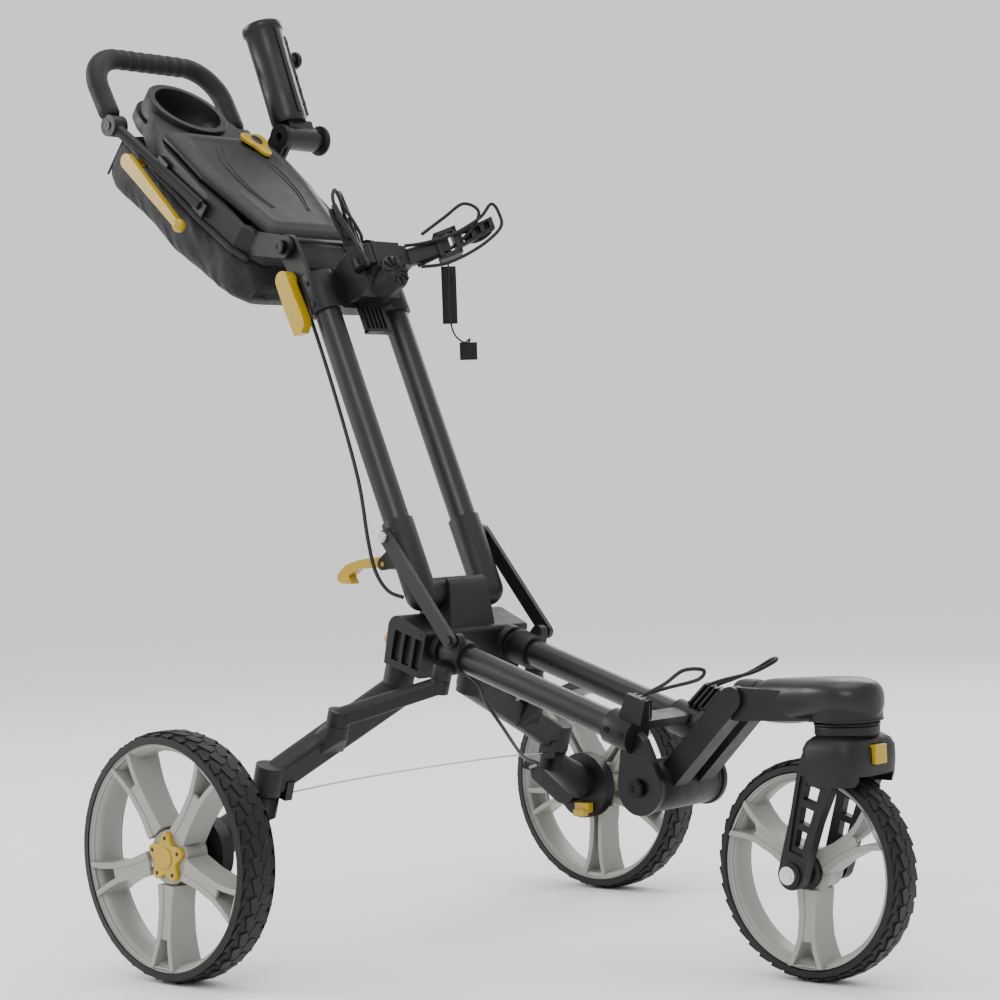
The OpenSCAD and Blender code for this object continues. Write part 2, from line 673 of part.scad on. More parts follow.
module console_lid() {
    color(black) at_console() difference() {
        union() {
            hull() {
                both_sides() {
                    translate([-228, lid_half - 18, 0]) zbar(18, -12.4, -7, $fn = 32);
                    translate([-150, lid_half - 14, 0]) zbar(14, -12.4, -6, $fn = 32);
                    translate([-46, 52, 0]) zbar(12, -12.4, -8, $fn = 32);
                }
                box([-226, -46, -4], [-70, 46, 3]);
            }
            translate([lid_pin.x, 0, lid_pin.y]) ybar(4, -51.6, 51.6);
            box([-40, -50, -12], [-28, 50, -8]);
        }
        translate([lid_pin.x, 0, lid_pin.y]) ybar(2 + fit, -70, 70);
        translate([-224, 50, 0]) zbar(4 + fit, -12, 10);
    }
}
module lid_latch() {
    color(yellow) at_console() {
        hull() {
            translate([-232, 50, 0]) zbar(14, 4, 8, $fn = 32);
            translate([-212, 54, 0]) zbar(6, 4, 7, $fn = 32);
        }
        translate([-224, 50, 0]) zbar(4, -11, 5);
    }
}
lever_at = [-245, -52];
module brake_lever() {
    color(yellow) at_console() translate([lever_at.x, 0, lever_at.y]) {
        ybar(4, -109, -84);
        plate(-115, -108) hull() {
            circle(r = 9, $fn = 32);
            translate([118, -7]) circle(r = 5, $fn = 32);
        }
        translate([122, -112, -7]) sphere(r = 8);
    }
}
module umbrella_holder() {
    color(black) at_console() translate([mount_at.x, 0, mount_at.y]) {
        ybar(5, 90, 104);
        rotate([0, -umb_lean, 0]) difference() {
            union() {
                ybar(15, tray_half + 5.5, umb_y + 30);
                box([-12, umb_y - 12, 8], [12, umb_y + 27, 20]);
                translate([0, umb_y, 0]) zbar(umbrella_bore + 5, 17.5, 152, $fn = 64);
                translate([0, umb_y, 0]) zbar(umbrella_bore + 7.5, 144, 153, $fn = 64);
                // clip along the far side
                box([-10, umb_y + 14, 30], [10, umb_y + 29, 140]);
            }
            translate([0, umb_y, 0]) zbar(umbrella_bore, 22, 160, $fn = 64);
            ybar(3 + fit, umb_y + 21, umb_y + 40);
            translate([0, umb_y, 112]) ybar(3 + fit, 21, 40);
        }
    }
}
module knob(r, y0) {
    ybar(3, y0 - 8, y0 + 1);
    ybar(r * 0.45, y0, y0 + 10);
    ybar(r, y0 + 9, y0 + 18);
}
module umbrella_knob() {
    color(black) at_console() translate([mount_at.x, 0, mount_at.y]) rotate([0, -umb_lean, 0])
        knob(19, umb_y + 30.4);
}
module clamp_knob() {
    color(black) at_console() translate([mount_at.x, 0, mount_at.y]) rotate([0, -umb_lean, 0])
        translate([0, 0, 112]) knob(11, umb_y + 29.4);
}

// ---- cords: routes in the frame of the tubes they follow ----
cable_route = [[-36, -56, 412], [-27, -56, 394], [-25, -56, 350], [-23, -60, 250], [-24, -66, 150],
    [-32, -72, 85], [-36, -73, 45], [-29, -71, 18], [-15, -66, 4]];
hose_route = [[2, 0, -36], [22, 2, -42], [30, 14, -64], [40, 38, -92], [24, 100, -138],
    [-24, 186, -174], [-66, 226, -199]];
wire_route = [[-32, -205, -166], [-32, -110, -162], [-32, 0, -161], [-32, 110, -162], [-32, 205, -166]];
upper_loop = [[70, 10, 380], [92, 40, 362], [124, 96, 370], [136, 124, 392], [132, 112, 430],
    [118, 90, 452], [96, 60, 440]];
lower_loop = [[300, 60, 47], [330, 70, 70], [352, 74, 92], [366, 60, 96], [352, 46, 80], [318, 44, 60],
    [297, 50, 47]];
module brake_cable() { color(rubber) at_upper() cord(smooth(cable_route, 3), 2.2); }
module brake_cords() {
    color(rubber) at_lower() cord(smooth(hose_route, 3), 2.2);
    color(steel) at_lower() cord(wire_route, 1);
}
module elastic_cords() {
    color(rubber) at_lower() both_sides() cord(smooth(lower_loop, 2), 2);
}

main_housing();
lower_tubes();
leg_pins();
release_button();
lower_bracket();
bracket_covers();
lower_cradle();
front_pivot_bolt();
strut_sleeves();
link_right();
link_left();
strut_right();
strut_left();
strut_bolts();
upper_yoke();
upper_tubes();
upper_bracket();
fold_latch();
cradle_arm_right();
cradle_arm_left();
console_tray();
cup_holder();
handle_frame();
handle_grip();
storage_bag();
umbrella_mount();
console_bolts();
angle_lever_right();
angle_lever_left();
console_lid();
lid_latch();
brake_lever();
umbrella_holder();
umbrella_knob();
clamp_knob();
leg_right();
leg_left();
hub_carrier_right();
hub_carrier_left();
release_tab_right();
release_tab_left();
rear_tyre_right();
rear_tyre_left();
rear_rim_right();
rear_rim_left();
hub_cap_right();
hub_cap_left();
rear_bearings_right();
rear_bearings_left();
front_arm();
swivel_cap();
front_fork();
lock_button();
front_axle();
front_rim();
front_tyre();
front_bearings();
brake_cable();
brake_cords();
elastic_cords();
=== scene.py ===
import math
from collections import namedtuple

import bmesh
import bpy
from mathutils import Matrix, Vector, noise


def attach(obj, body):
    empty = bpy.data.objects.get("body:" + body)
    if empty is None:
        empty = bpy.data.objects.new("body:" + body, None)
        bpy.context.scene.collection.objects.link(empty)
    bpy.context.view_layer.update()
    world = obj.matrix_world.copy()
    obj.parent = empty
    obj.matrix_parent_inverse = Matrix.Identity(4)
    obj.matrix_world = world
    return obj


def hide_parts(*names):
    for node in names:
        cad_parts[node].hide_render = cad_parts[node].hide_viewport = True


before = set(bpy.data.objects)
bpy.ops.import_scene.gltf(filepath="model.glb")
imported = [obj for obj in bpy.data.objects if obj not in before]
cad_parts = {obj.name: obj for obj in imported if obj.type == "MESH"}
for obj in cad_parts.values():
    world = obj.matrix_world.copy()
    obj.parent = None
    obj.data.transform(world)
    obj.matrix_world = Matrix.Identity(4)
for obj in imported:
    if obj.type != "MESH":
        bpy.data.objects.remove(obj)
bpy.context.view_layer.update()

bl_info = {
    "name": "Golf push trolley",
    "version": (1, 0, 0),
    "blender": (4, 5, 0),
    "location": "3D View > Sidebar > Trolley",
    "description": "Makes the finished pieces of a three-wheeled golf trolley over its packed frame",
    "category": "Object",
}

MM = 0.001
# sizes in millimetres and angles in degrees, from the rear axles
MID_X = 128.75            # the frame's origin, ahead of the rear axles
FRONT_SLOPE = 17.4        # fall of the lower tubes
FRAME_LEAN = 22.6         # lean of the upper tubes
CONSOLE_PITCH = 40.0
HUB_Y = 340.0             # middle of a rear wheel
REAR_R, FRONT_R = 131.0, 111.5
REAR_W, FRONT_W = 46.0, 42.0
WHEELBASE = 570.0
RIM_REAR = REAR_R * 0.907
RIM_FRONT = FRONT_R * 0.881
REAR_PHASE = 51.0         # where the first spoke stands
FRONT_PHASE = 29.0
SWIVEL_X = 613.0          # axis of the front swivel
ARM_Z = 278.0             # height of the level arm
KNUCKLE = (-305, -41)     # pivot of the hand grip, in the console's frame
GRIP_TILT = 21.8


def turned(angle):
    """A turn about Y, in degrees."""
    return Matrix.Rotation(math.radians(angle), 4, "Y")


WHOLE = Matrix.Translation((-MID_X, 0, 0))
LOWER = WHOLE @ Matrix.Translation((104, 0, 330.7)) @ turned(FRONT_SLOPE)
UPPER = WHOLE @ Matrix.Translation((83, 0, 386)) @ turned(-FRAME_LEAN)
CONSOLE = UPPER @ Matrix.Translation((-16.4, 0, 437)) @ turned(FRAME_LEAN + CONSOLE_PITCH)
GRIP = CONSOLE @ Matrix.Translation((KNUCKLE[0], 0, KNUCKLE[1])) @ turned(GRIP_TILT)
UMBRELLA = CONSOLE @ Matrix.Translation((-236, 113, 8)) @ turned(-60)
TO_METRES = Matrix.Scale(MM, 4)
MIRROR_Y = Matrix.Scale(-1, 4, (0, 1, 0))


# ---- sizes and colours that a user would change ----

class TrolleyFinish(bpy.types.PropertyGroup):
    body_color: bpy.props.FloatVectorProperty(
        name="Body", description="Colour of the black mouldings", subtype="COLOR",
        default=(0.0045, 0.0048, 0.0052))
    tube_color: bpy.props.FloatVectorProperty(
        name="Tubes", description="Colour of the painted tubes", subtype="COLOR",
        default=(0.0075, 0.0082, 0.0092))
    rim_color: bpy.props.FloatVectorProperty(
        name="Rims", description="Colour of the wheel rims", subtype="COLOR",
        default=(0.27, 0.268, 0.245))
    accent_color: bpy.props.FloatVectorProperty(
        name="Accents", description="Colour of the levers, caps and buttons", subtype="COLOR",
        default=(0.4, 0.255, 0.001))
    cloth_color: bpy.props.FloatVectorProperty(
        name="Cloth", description="Colour of the storage bag", subtype="COLOR",
        default=(0.0045, 0.005, 0.006))


class TrolleySizes(bpy.types.PropertyGroup):
    tread_count: bpy.props.IntProperty(
        name="Tread blocks", description="Blocks round each row of a tyre's tread", default=40, min=20, max=90)
    tread_depth: bpy.props.FloatProperty(
        name="Tread depth", description="Height of the tread blocks", default=0.0009, unit="LENGTH")
    cord_diameter: bpy.props.FloatProperty(
        name="Elastic cord", description="Diameter of the elastic cords", default=0.004, unit="LENGTH")
    cable_diameter: bpy.props.FloatProperty(
        name="Brake cable", description="Diameter of the brake cable's sheath", default=0.0044, unit="LENGTH")
    floor_size: bpy.props.FloatProperty(
        name="Floor", description="Width of the studio floor", default=60.0, unit="LENGTH")


# ---- materials ----

RUBBER = (0.0055, 0.0055, 0.006)
SOFT_BLACK = (0.005, 0.0052, 0.0056)
CORD_BLACK = (0.006, 0.006, 0.0065)
BRIGHT_STEEL = (0.62, 0.63, 0.65)
BLACKED_STEEL = (0.03, 0.031, 0.034)
FLOOR_WHITE = (0.97, 0.97, 0.97)


def node_material(name, color, roughness, **sockets):
    """A new material with its shader's uniform values set; returns it with its tree and shader."""
    mat = bpy.data.materials.new(name)
    mat.use_nodes = True
    tree = mat.node_tree
    shader = tree.nodes["Principled BSDF"]
    shader.inputs["Base Color"].default_value = (*color, 1)
    shader.inputs["Roughness"].default_value = roughness
    for key, value in sockets.items():
        shader.inputs[key.replace("_", " ")].default_value = value
    mat.diffuse_color = (*color, 1)
    return mat, tree, shader


OPERANDS = {"a": 0, "b": 1}


def add(tree, kind, **values):
    """A node with its properties set and its inputs set or linked; a and b are a maths node's operands."""
    made = tree.nodes.new(kind)
    for key, value in values.items():
        if key in made.bl_rna.properties:
            setattr(made, key, value)
            continue
        socket = made.inputs[OPERANDS.get(key, key.replace("_", " "))]
        if isinstance(value, bpy.types.NodeSocket):
            tree.links.new(value, socket)
        else:
            socket.default_value = value
    return made


def maths(tree, operation, a, b):
    return add(tree, "ShaderNodeMath", operation=operation, a=a, b=b).outputs[0]


def tinted(tree, shader, coords, color, spread, scale):
    """Slow variation of the base colour, as in a moulding or a coat of paint."""
    cloud = add(tree, "ShaderNodeTexNoise", Scale=scale, Detail=4.0, Roughness=0.6, Vector=coords)
    ramp = add(tree, "ShaderNodeValToRGB", Fac=cloud.outputs["Fac"])
    dark, light = ramp.color_ramp.elements
    dark.position, light.position = 0.3, 0.72
    dark.color = (*[c * (1 - spread) for c in color], 1)
    light.color = (*[min(1, c * (1 + spread)) for c in color], 1)
    tree.links.new(ramp.outputs["Color"], shader.inputs["Base Color"])


def varied_roughness(tree, shader, coords, low, high, scale):
    """Roughness that drifts between low and high over the surface."""
    cloud = add(tree, "ShaderNodeTexNoise", Scale=scale, Detail=5.0, Roughness=0.65, Vector=coords)
    drift = add(tree, "ShaderNodeMapRange", Value=cloud.outputs["Fac"], From_Min=0.3, From_Max=0.7,
                To_Min=low, To_Max=high)
    tree.links.new(drift.outputs["Result"], shader.inputs["Roughness"])


def grained(tree, shader, height, strength, distance):
    """A fine relief on the shader's normal."""
    bump = add(tree, "ShaderNodeBump", Strength=strength, Distance=distance, Height=height)
    tree.links.new(bump.outputs["Normal"], shader.inputs["Normal"])


def moulded(name, color, rough, grain=1400.0, strength=0.25, spread=0.12, **sockets):
    """Injection-moulded plastic or soft rubber with a fine spark-eroded grain."""
    low, high = rough
    mat, tree, shader = node_material(name, color, (low + high) / 2, **sockets)
    coords = add(tree, "ShaderNodeTexCoord").outputs["Object"]
    tinted(tree, shader, coords, color, spread, 22.0)
    varied_roughness(tree, shader, coords, low, high, 60.0)
    sparks = add(tree, "ShaderNodeTexNoise", Scale=grain, Detail=2.0, Vector=coords)
    grained(tree, shader, sparks.outputs["Fac"], strength, 0.0004)
    return mat


def woven(name, color):
    """Plain-woven nylon with a faint ripstop grid and soft creases."""
    mat, tree, shader = node_material(
        name, color, 0.6, Sheen_Weight=0.06, Sheen_Roughness=0.4, Specular_IOR_Level=0.3)
    coords = add(tree, "ShaderNodeTexCoord").outputs["UV"]
    tinted(tree, shader, coords, color, 0.25, 14.0)
    varied_roughness(tree, shader, coords, 0.5, 0.72, 30.0)
    ridges = []
    for direction, scale, share in (("X", 260.0, 0.5), ("Y", 260.0, 0.5), ("X", 32.0, 0.35), ("Y", 32.0, 0.35)):
        wave = add(tree, "ShaderNodeTexWave", wave_type="BANDS", bands_direction=direction,
                   Scale=scale, Distortion=0.4, Vector=coords)
        ridges.append(maths(tree, "MULTIPLY", wave.outputs["Fac"], share))
    total = ridges[0]
    for ridge in ridges[1:]:
        total = maths(tree, "ADD", total, ridge)
    grained(tree, shader, total, 0.35, 0.0005)
    return mat


def brushed(name, color):
    """Turned or ground steel with fine marks."""
    mat, tree, shader = node_material(name, color, 0.3, Metallic=1.0)
    coords = add(tree, "ShaderNodeTexCoord").outputs["Object"]
    varied_roughness(tree, shader, coords, 0.22, 0.42, 240.0)
    marks = add(tree, "ShaderNodeTexNoise", Scale=900.0, Detail=3.0, Vector=coords)
    grained(tree, shader, marks.outputs["Fac"], 0.15, 0.0002)
    return mat


def braided(name, color):
    """Elastic cord in a diagonal braid that follows the cord's own surface."""
    mat, tree, shader = node_material(name, color, 0.6, Sheen_Weight=0.05, Specular_IOR_Level=0.35)
    coords = add(tree, "ShaderNodeTexCoord").outputs["Object"]
    tinted(tree, shader, coords, color, 0.3, 90.0)
    varied_roughness(tree, shader, coords, 0.45, 0.7, 200.0)
    wave = add(tree, "ShaderNodeTexWave", wave_type="BANDS", bands_direction="DIAGONAL",
               Scale=420.0, Distortion=1.5, Vector=coords)
    grained(tree, shader, wave.outputs["Fac"], 0.5, 0.0005)
    return mat


def pale_floor(name):
    """Plain studio paper."""
    mat, tree, shader = node_material(name, FLOOR_WHITE, 0.7)
    coords = add(tree, "ShaderNodeTexCoord").outputs["Object"]
    tinted(tree, shader, coords, FLOOR_WHITE, 0.01, 0.6)
    return mat


FINISH = {}


def make_finishes():
    """Every finish of the trolley, from the panel's colours."""
    look = bpy.context.scene.trolley_finish
    body, tube = tuple(look.body_color), tuple(look.tube_color)
    FINISH["body"] = moulded("moulded_black", body, (0.4, 0.54), Specular_IOR_Level=0.34)
    FINISH["gloss"] = moulded("smooth_black", body, (0.3, 0.4), strength=0.12, Specular_IOR_Level=0.4)
    FINISH["lid"] = moulded("lid_black", body, (0.4, 0.5), grain=1900.0, strength=0.3, Specular_IOR_Level=0.36)
    FINISH["tube"] = moulded("powder_coat", tube, (0.3, 0.4), grain=2600.0, strength=0.16,
                             Specular_IOR_Level=0.4, Coat_Weight=0.1, Coat_Roughness=0.3)
    FINISH["tyre"] = moulded("tyre_rubber", RUBBER, (0.46, 0.6), grain=700.0, strength=0.3,
                             Specular_IOR_Level=0.35)
    FINISH["rim"] = moulded("rim_grey", tuple(look.rim_color), (0.32, 0.42), strength=0.15, spread=0.04)
    FINISH["accent"] = moulded("accent_yellow", tuple(look.accent_color), (0.26, 0.36), strength=0.12,
                               spread=0.04, Coat_Weight=0.1, Coat_Roughness=0.2)
    FINISH["grip"] = moulded("soft_grip", SOFT_BLACK, (0.52, 0.66), grain=1100.0, strength=0.5,
                             Specular_IOR_Level=0.34)
    FINISH["cloth"] = woven("bag_nylon", tuple(look.cloth_color))
    FINISH["steel"] = brushed("bright_steel", BRIGHT_STEEL)
    FINISH["dark_steel"] = brushed("dark_bolt", BLACKED_STEEL)
    FINISH["cord"] = braided("elastic_braid", CORD_BLACK)
    FINISH["sheath"] = moulded("cable_sheath", CORD_BLACK, (0.34, 0.45), strength=0.1,
                               Specular_IOR_Level=0.4)


# ---- making meshes: millimetres in a piece's own frame, then metres in the trolley's ----

EDGE_ANGLE = 35           # degrees between faces past which an edge is rounded
CAD_EDGE = 0.0009         # rounding of the carried-over parts, in metres
CAD_EDGE_ANGLE = 38
WELD_GAP = 0.00002


def shape_from(bm, name):
    """The mesh of a bmesh, with its faces turned outwards."""
    mesh = bpy.data.meshes.new(name)
    bmesh.ops.recalc_face_normals(bm, faces=bm.faces)
    bm.to_mesh(mesh)
    bm.free()
    return mesh


def link_object(name, data):
    """A new object of the scene, at the origin."""
    obj = bpy.data.objects.new(name, data)
    bpy.context.scene.collection.objects.link(obj)
    return obj


def soften(obj, width, segments, angle, harden):
    """Rounds the edges that are sharper than an angle in degrees."""
    soft = obj.modifiers.new("Edges", "BEVEL")
    soft.width = width
    soft.segments = segments
    soft.limit_method = "ANGLE"
    soft.angle_limit = math.radians(angle)
    soft.harden_normals = harden


def put_piece(name, shape, place, finish, body, bevel=0.0, segments=2, subdiv=0, sharp=None, replaces=()):
    """Sets a bmesh or mesh in its place in metres, finishes its edges and hands it to its body."""
    mesh = shape if isinstance(shape, bpy.types.Mesh) else shape_from(shape, name)
    full = TO_METRES @ place
    mesh.transform(full)
    if full.determinant() < 0:
        mesh.flip_normals()
    obj = link_object(name, mesh)
    mesh.materials.clear()
    mesh.materials.append(FINISH[finish])
    for face in mesh.polygons:
        face.use_smooth = True
    if sharp:
        mesh.set_sharp_from_angle(angle=math.radians(sharp))
    if bevel:
        soften(obj, bevel * MM, segments, EDGE_ANGLE, harden=True)
    if subdiv:
        fine = obj.modifiers.new("Fine", "SUBSURF")
        fine.levels = fine.render_levels = subdiv
    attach(obj, body)
    if replaces:
        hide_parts(*replaces)
    return obj


def circle_points(radius, steps):
    """Points round a circle, as pairs."""
    return [(radius * math.cos(2 * math.pi * k / steps), radius * math.sin(2 * math.pi * k / steps))
            for k in range(steps)]


def squared(share, power):
    """A cosine or sine pushed out towards the side of a square."""
    return math.copysign(abs(share) ** power, share)


def add_loft(bm, rings, close=False):
    """Rings of the same number of points joined into a skin; its ends are filled unless it closes."""
    made = [[bm.verts.new(p) for p in ring] for ring in rings]
    n = len(rings[0])
    last = len(made) if close else len(made) - 1
    for i in range(last):
        a, b = made[i], made[(i + 1) % len(made)]
        for k in range(n):
            bm.faces.new((a[k], a[(k + 1) % n], b[(k + 1) % n], b[k]))
    if not close:
        bm.faces.new(made[0][::-1])
        bm.faces.new(made[-1])
    return made


def add_lathe(bm, profile, steps, centre=(0, 0, 0)):
    """A closed profile of (radius, y) turned about the Y axis."""
    cx, cy, cz = centre
    add_loft(bm, [[(cx + r * c, cy + y, cz + r * s) for r, y in profile] for c, s in circle_points(1, steps)],
             close=True)


def add_slab(bm, outline, y0, y1):
    """An outline of (x, z) points raised from y0 to y1."""
    add_loft(bm, [[(x, y0, z) for x, z in outline], [(x, y1, z) for x, z in outline]])


def add_box(bm, low, high):
    """A box from its lowest to its highest corner."""
    (x0, y0, z0), (x1, y1, z1) = low, high
    add_slab(bm, [(x0, z0), (x1, z0), (x1, z1), (x0, z1)], y0, y1)


def add_drum(bm, centre, radius, y0, y1, steps=48):
    """A round boss about Y."""
    cx, cz = centre
    add_slab(bm, [(cx + x, cz + z) for x, z in circle_points(radius, steps)], y0, y1)


def add_post(bm, centre, sections, steps=48):
    """A round post about Z through sections of (radius, z)."""
    cx, cy = centre
    add_loft(bm, [[(cx + r * x, cy + r * y, z) for x, y in circle_points(1, steps)] for r, z in sections])


def smooth_path(points, steps):
    """Points on a smooth curve through given points."""
    p = [Vector(q) for q in points]
    out = []
    for i in range(len(p) - 1):
        a, b, c, d = p[max(i - 1, 0)], p[i], p[i + 1], p[min(i + 2, len(p) - 1)]
        for j in range(steps):
            t = j / steps
            out.append(0.5 * (2 * b + (c - a) * t + (2 * a - 5 * b + 4 * c - d) * t * t
                              + (3 * b - a - 3 * c + d) * t ** 3))
    out.append(p[-1])
    return out


def add_sweep(bm, path, radius_at, steps=16, side=Vector((0, 0, 1)), flat=1.0):
    """A tube along a path; radius_at(i) is its radius at each point, flat its height over its width."""
    rings = []
    for i, p in enumerate(path):
        d = (path[min(i + 1, len(path) - 1)] - path[max(i - 1, 0)]).normalized()
        s = d.cross(side).normalized()
        t = s.cross(d)
        r = radius_at(i)
        rings.append([p + r * (x * s + flat * y * t) for x, y in circle_points(1, steps)])
    add_loft(bm, rings)


SIDES = (("right", "_r", -1), ("left", "_l", 1))


# ---- stage ----

LENS, SENSOR = 91.75, 36
LENS_SHIFT = (-0.1466, 0.0137)
CAMERA_SPOT = (1.93965, -2.0523, 0.5092)
CAMERA_RIGHT = (0.76941, 0.63789, -0.03317)
CAMERA_UP = (0.01597, 0.03271, 0.99934)
CAMERA_BACK = (0.63855, -0.76943, 0.01498)
SKY_STRENGTH = 1.05
LIT_MIDDLE = Vector((0, 0, 0.5))
# soft lamps: name, place in metres, width and power
LAMPS = (("key", (2.2, -2.6, 2.6), 1.6, 42), ("side", (-2.6, -1.6, 1.8), 1.4, 52),
         ("top", (0.2, 0.3, 3.2), 2.2, 34), ("back", (-1.0, 3.0, 2.2), 1.6, 30))


class TROLLEY_OT_stage(bpy.types.Operator):
    """Make the camera, the floor and the soft studio light"""
    bl_idname = "trolley.stage"
    bl_label = "Stage"

    def execute(self, context):
        scene = context.scene
        make_finishes()
        lens = bpy.data.cameras.new("camera")
        lens.lens, lens.sensor_width = LENS, SENSOR
        lens.shift_x, lens.shift_y = LENS_SHIFT
        lens.clip_end = 200
        cam = link_object("camera", lens)
        turn = Matrix((CAMERA_RIGHT, CAMERA_UP, CAMERA_BACK)).transposed().to_4x4()
        cam.matrix_world = Matrix.Translation(CAMERA_SPOT) @ turn
        scene.camera = cam

        half = scene.trolley_sizes.floor_size / 2
        bm = bmesh.new()
        bmesh.ops.create_grid(bm, x_segments=2, y_segments=2, size=half)
        mesh = bpy.data.meshes.new("floor")
        bm.to_mesh(mesh)
        bm.free()
        mesh.materials.append(pale_floor("studio_floor"))
        link_object("floor", mesh)

        world = bpy.data.worlds.new("studio")
        world.use_nodes = True
        sky = world.node_tree.nodes["Background"]
        sky.inputs["Color"].default_value = (1, 1, 1, 1)
        sky.inputs["Strength"].default_value = SKY_STRENGTH
        scene.world = world
        for name, spot, size, power in LAMPS:
            lamp = bpy.data.lights.new(name, "AREA")
            lamp.size = size
            lamp.energy = power
            aim = (LIT_MIDDLE - Vector(spot)).to_track_quat("-Z", "Y").to_matrix().to_4x4()
            link_object(name, lamp).matrix_world = Matrix.Translation(spot) @ aim
        return {"FINISHED"}


# ---- cords ----

BRAKE_CABLE = ((-36, -56, 412), (-27, -56, 394), (-25, -56, 350), (-23, -60, 250), (-24, -66, 150),
               (-32, -72, 85), (-36, -73, 45), (-29, -71, 18), (-15, -66, 4))
BRAKE_HOSE = ((2, 0, -36), (22, 2, -42), (30, 14, -64), (40, 38, -92), (24, 100, -138),
              (-24, 186, -174), (-66, 226, -199))
BRAKE_WIRE = ((-32, -205, -166), (-32, -110, -162), (-32, 0, -161), (-32, 110, -162), (-32, 205, -166))
LOWER_LOOP = ((300, 60, 47), (330, 70, 70), (352, 74, 92), (366, 60, 96), (352, 46, 80), (318, 44, 60),
              (297, 50, 47))


def lay_cord(name, points, steps, place, diameter, finish, body, **facts):
    """A cord as a curve through its route; its length is that of the route."""
    full = TO_METRES @ place
    path = [full @ p for p in smooth_path(points, steps)]
    curve = bpy.data.curves.new(name, "CURVE")
    curve.dimensions = "3D"
    curve.bevel_depth = diameter / 2
    curve.bevel_resolution = 3
    curve.use_fill_caps = True
    line = curve.splines.new("POLY")
    line.points.add(len(path) - 1)
    for spot, p in zip(line.points, path):
        spot.co = (*p, 1)
    line.use_smooth = True
    curve.materials.append(FINISH[finish])
    obj = link_object(name, curve)
    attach(obj, body)
    replaced = facts.pop("replaces", ())
    if replaced:
        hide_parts(*replaced)
    far_end = facts.pop("far_end", "object")
    return obj


class TROLLEY_OT_cords(bpy.types.Operator):
    """Lay the brake cable, the brake hose and wire, and the elastic cords"""
    bl_idname = "trolley.cords"
    bl_label = "Cords"

    def execute(self, context):
        sizes = context.scene.trolley_sizes
        thick, elastic = sizes.cable_diameter, sizes.cord_diameter
        lay_cord("brake_cable_sheath", BRAKE_CABLE, 4, UPPER, thick, "sheath", "upper_frame",
                 stiffness="stiff", lay="hanging", replaces=("brake_cable",))
        lay_cord("brake_hose", BRAKE_HOSE, 5, LOWER, thick, "sheath", "frame",
                 stiffness="stiff", lay="hanging", replaces=("brake_cords",))
        lay_cord("brake_wire", BRAKE_WIRE, 4, LOWER, 0.002, "steel", "frame",
                 stiffness="stiff", lay="taut", replaces=("brake_cords",))
        for side, _, sign in SIDES:
            route = [(x, y * sign, z) for x, y, z in LOWER_LOOP]
            lay_cord("elastic_loop_low_" + side, route, 5, LOWER, elastic, "cord", "frame",
                     stiffness="limp", lay="hanging", replaces=("elastic_cords",))
        return {"FINISHED"}


# ---- finishes of the carried-over parts ----

CAD_FINISH = {
    "tube": ("lower_tubes", "upper_tubes", "strut_right", "strut_left"),
    "accent": ("release_button", "fold_latch", "angle_lever_right", "angle_lever_left", "lid_latch",
               "brake_lever", "release_tab_right", "release_tab_left", "lock_button",
               "hub_cap_right", "hub_cap_left"),
    "steel": ("strut_bolts", "rear_bearings_right", "rear_bearings_left", "front_bearings", "front_axle"),
    "dark_steel": ("leg_pins", "front_pivot_bolt", "console_bolts"),
    "grip": ("handle_grip",),
    "lid": ("console_lid",),
    "gloss": ("swivel_cap", "bracket_covers"),
}


class TROLLEY_OT_finishes(bpy.types.Operator):
    """Give every carried-over part its own moulded, painted or metal finish"""
    bl_idname = "trolley.finishes"
    bl_label = "Finishes"

    def execute(self, context):
        finish_of = {n: key for key, names in CAD_FINISH.items() for n in names}
        for name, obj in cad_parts.items():
            obj.data.materials.clear()
            obj.data.materials.append(FINISH[finish_of.get(name, "body")])
            if finish_of.get(name, "body") in {"body", "accent", "gloss"}:
                weld = obj.modifiers.new("Weld", "WELD")
                weld.merge_threshold = WELD_GAP
                soften(obj, CAD_EDGE, 2, CAD_EDGE_ANGLE, harden=False)
        return {"FINISHED"}


# ---- wheels ----

def wheel_place(sign):
    """From a wheel's own frame, its outer face towards -Y, to the trolley's."""
    if sign == 0:
        return WHOLE @ Matrix.Translation((WHEELBASE, 0, FRONT_R))
    flip = MIRROR_Y if sign > 0 else Matrix.Identity(4)
    return WHOLE @ Matrix.Translation((0, sign * HUB_Y, REAR_R)) @ flip


Wheel = namedtuple("Wheel", "name body side radius rim width hub spokes phase dish tyre_node rim_node")
WHEELS = (
    Wheel("right", "wheel_r", -1, REAR_R, RIM_REAR, REAR_W, 28.0, 5, REAR_PHASE, 9.0,
          "rear_tyre_right", "rear_rim_right"),
    Wheel("left", "wheel_l", 1, REAR_R, RIM_REAR, REAR_W, 28.0, 5, REAR_PHASE, 9.0,
          "rear_tyre_left", "rear_rim_left"),
    Wheel("front", "front_wheel", 0, FRONT_R, RIM_FRONT, FRONT_W, 24.0, 3, FRONT_PHASE, 6.0,
          "front_tyre", "front_rim"),
)
# tread rows: (place across the tyre as a share of its width, skew, shift round it, length, width)
TREAD_ROWS = ((-0.125, 0.3, 0.0, 1.0, 0.21), (0.125, -0.3, 0.5, 1.0, 0.21),
              (-0.34, -0.22, 0.5, 0.86, 0.17), (0.34, 0.22, 0.0, 0.86, 0.17))


def crown(radius, width, y):
    """Radius of a tyre's crowned tread at a distance from its middle."""
    bow = width * 0.78
    return radius - bow + math.sqrt(bow * bow - y * y)


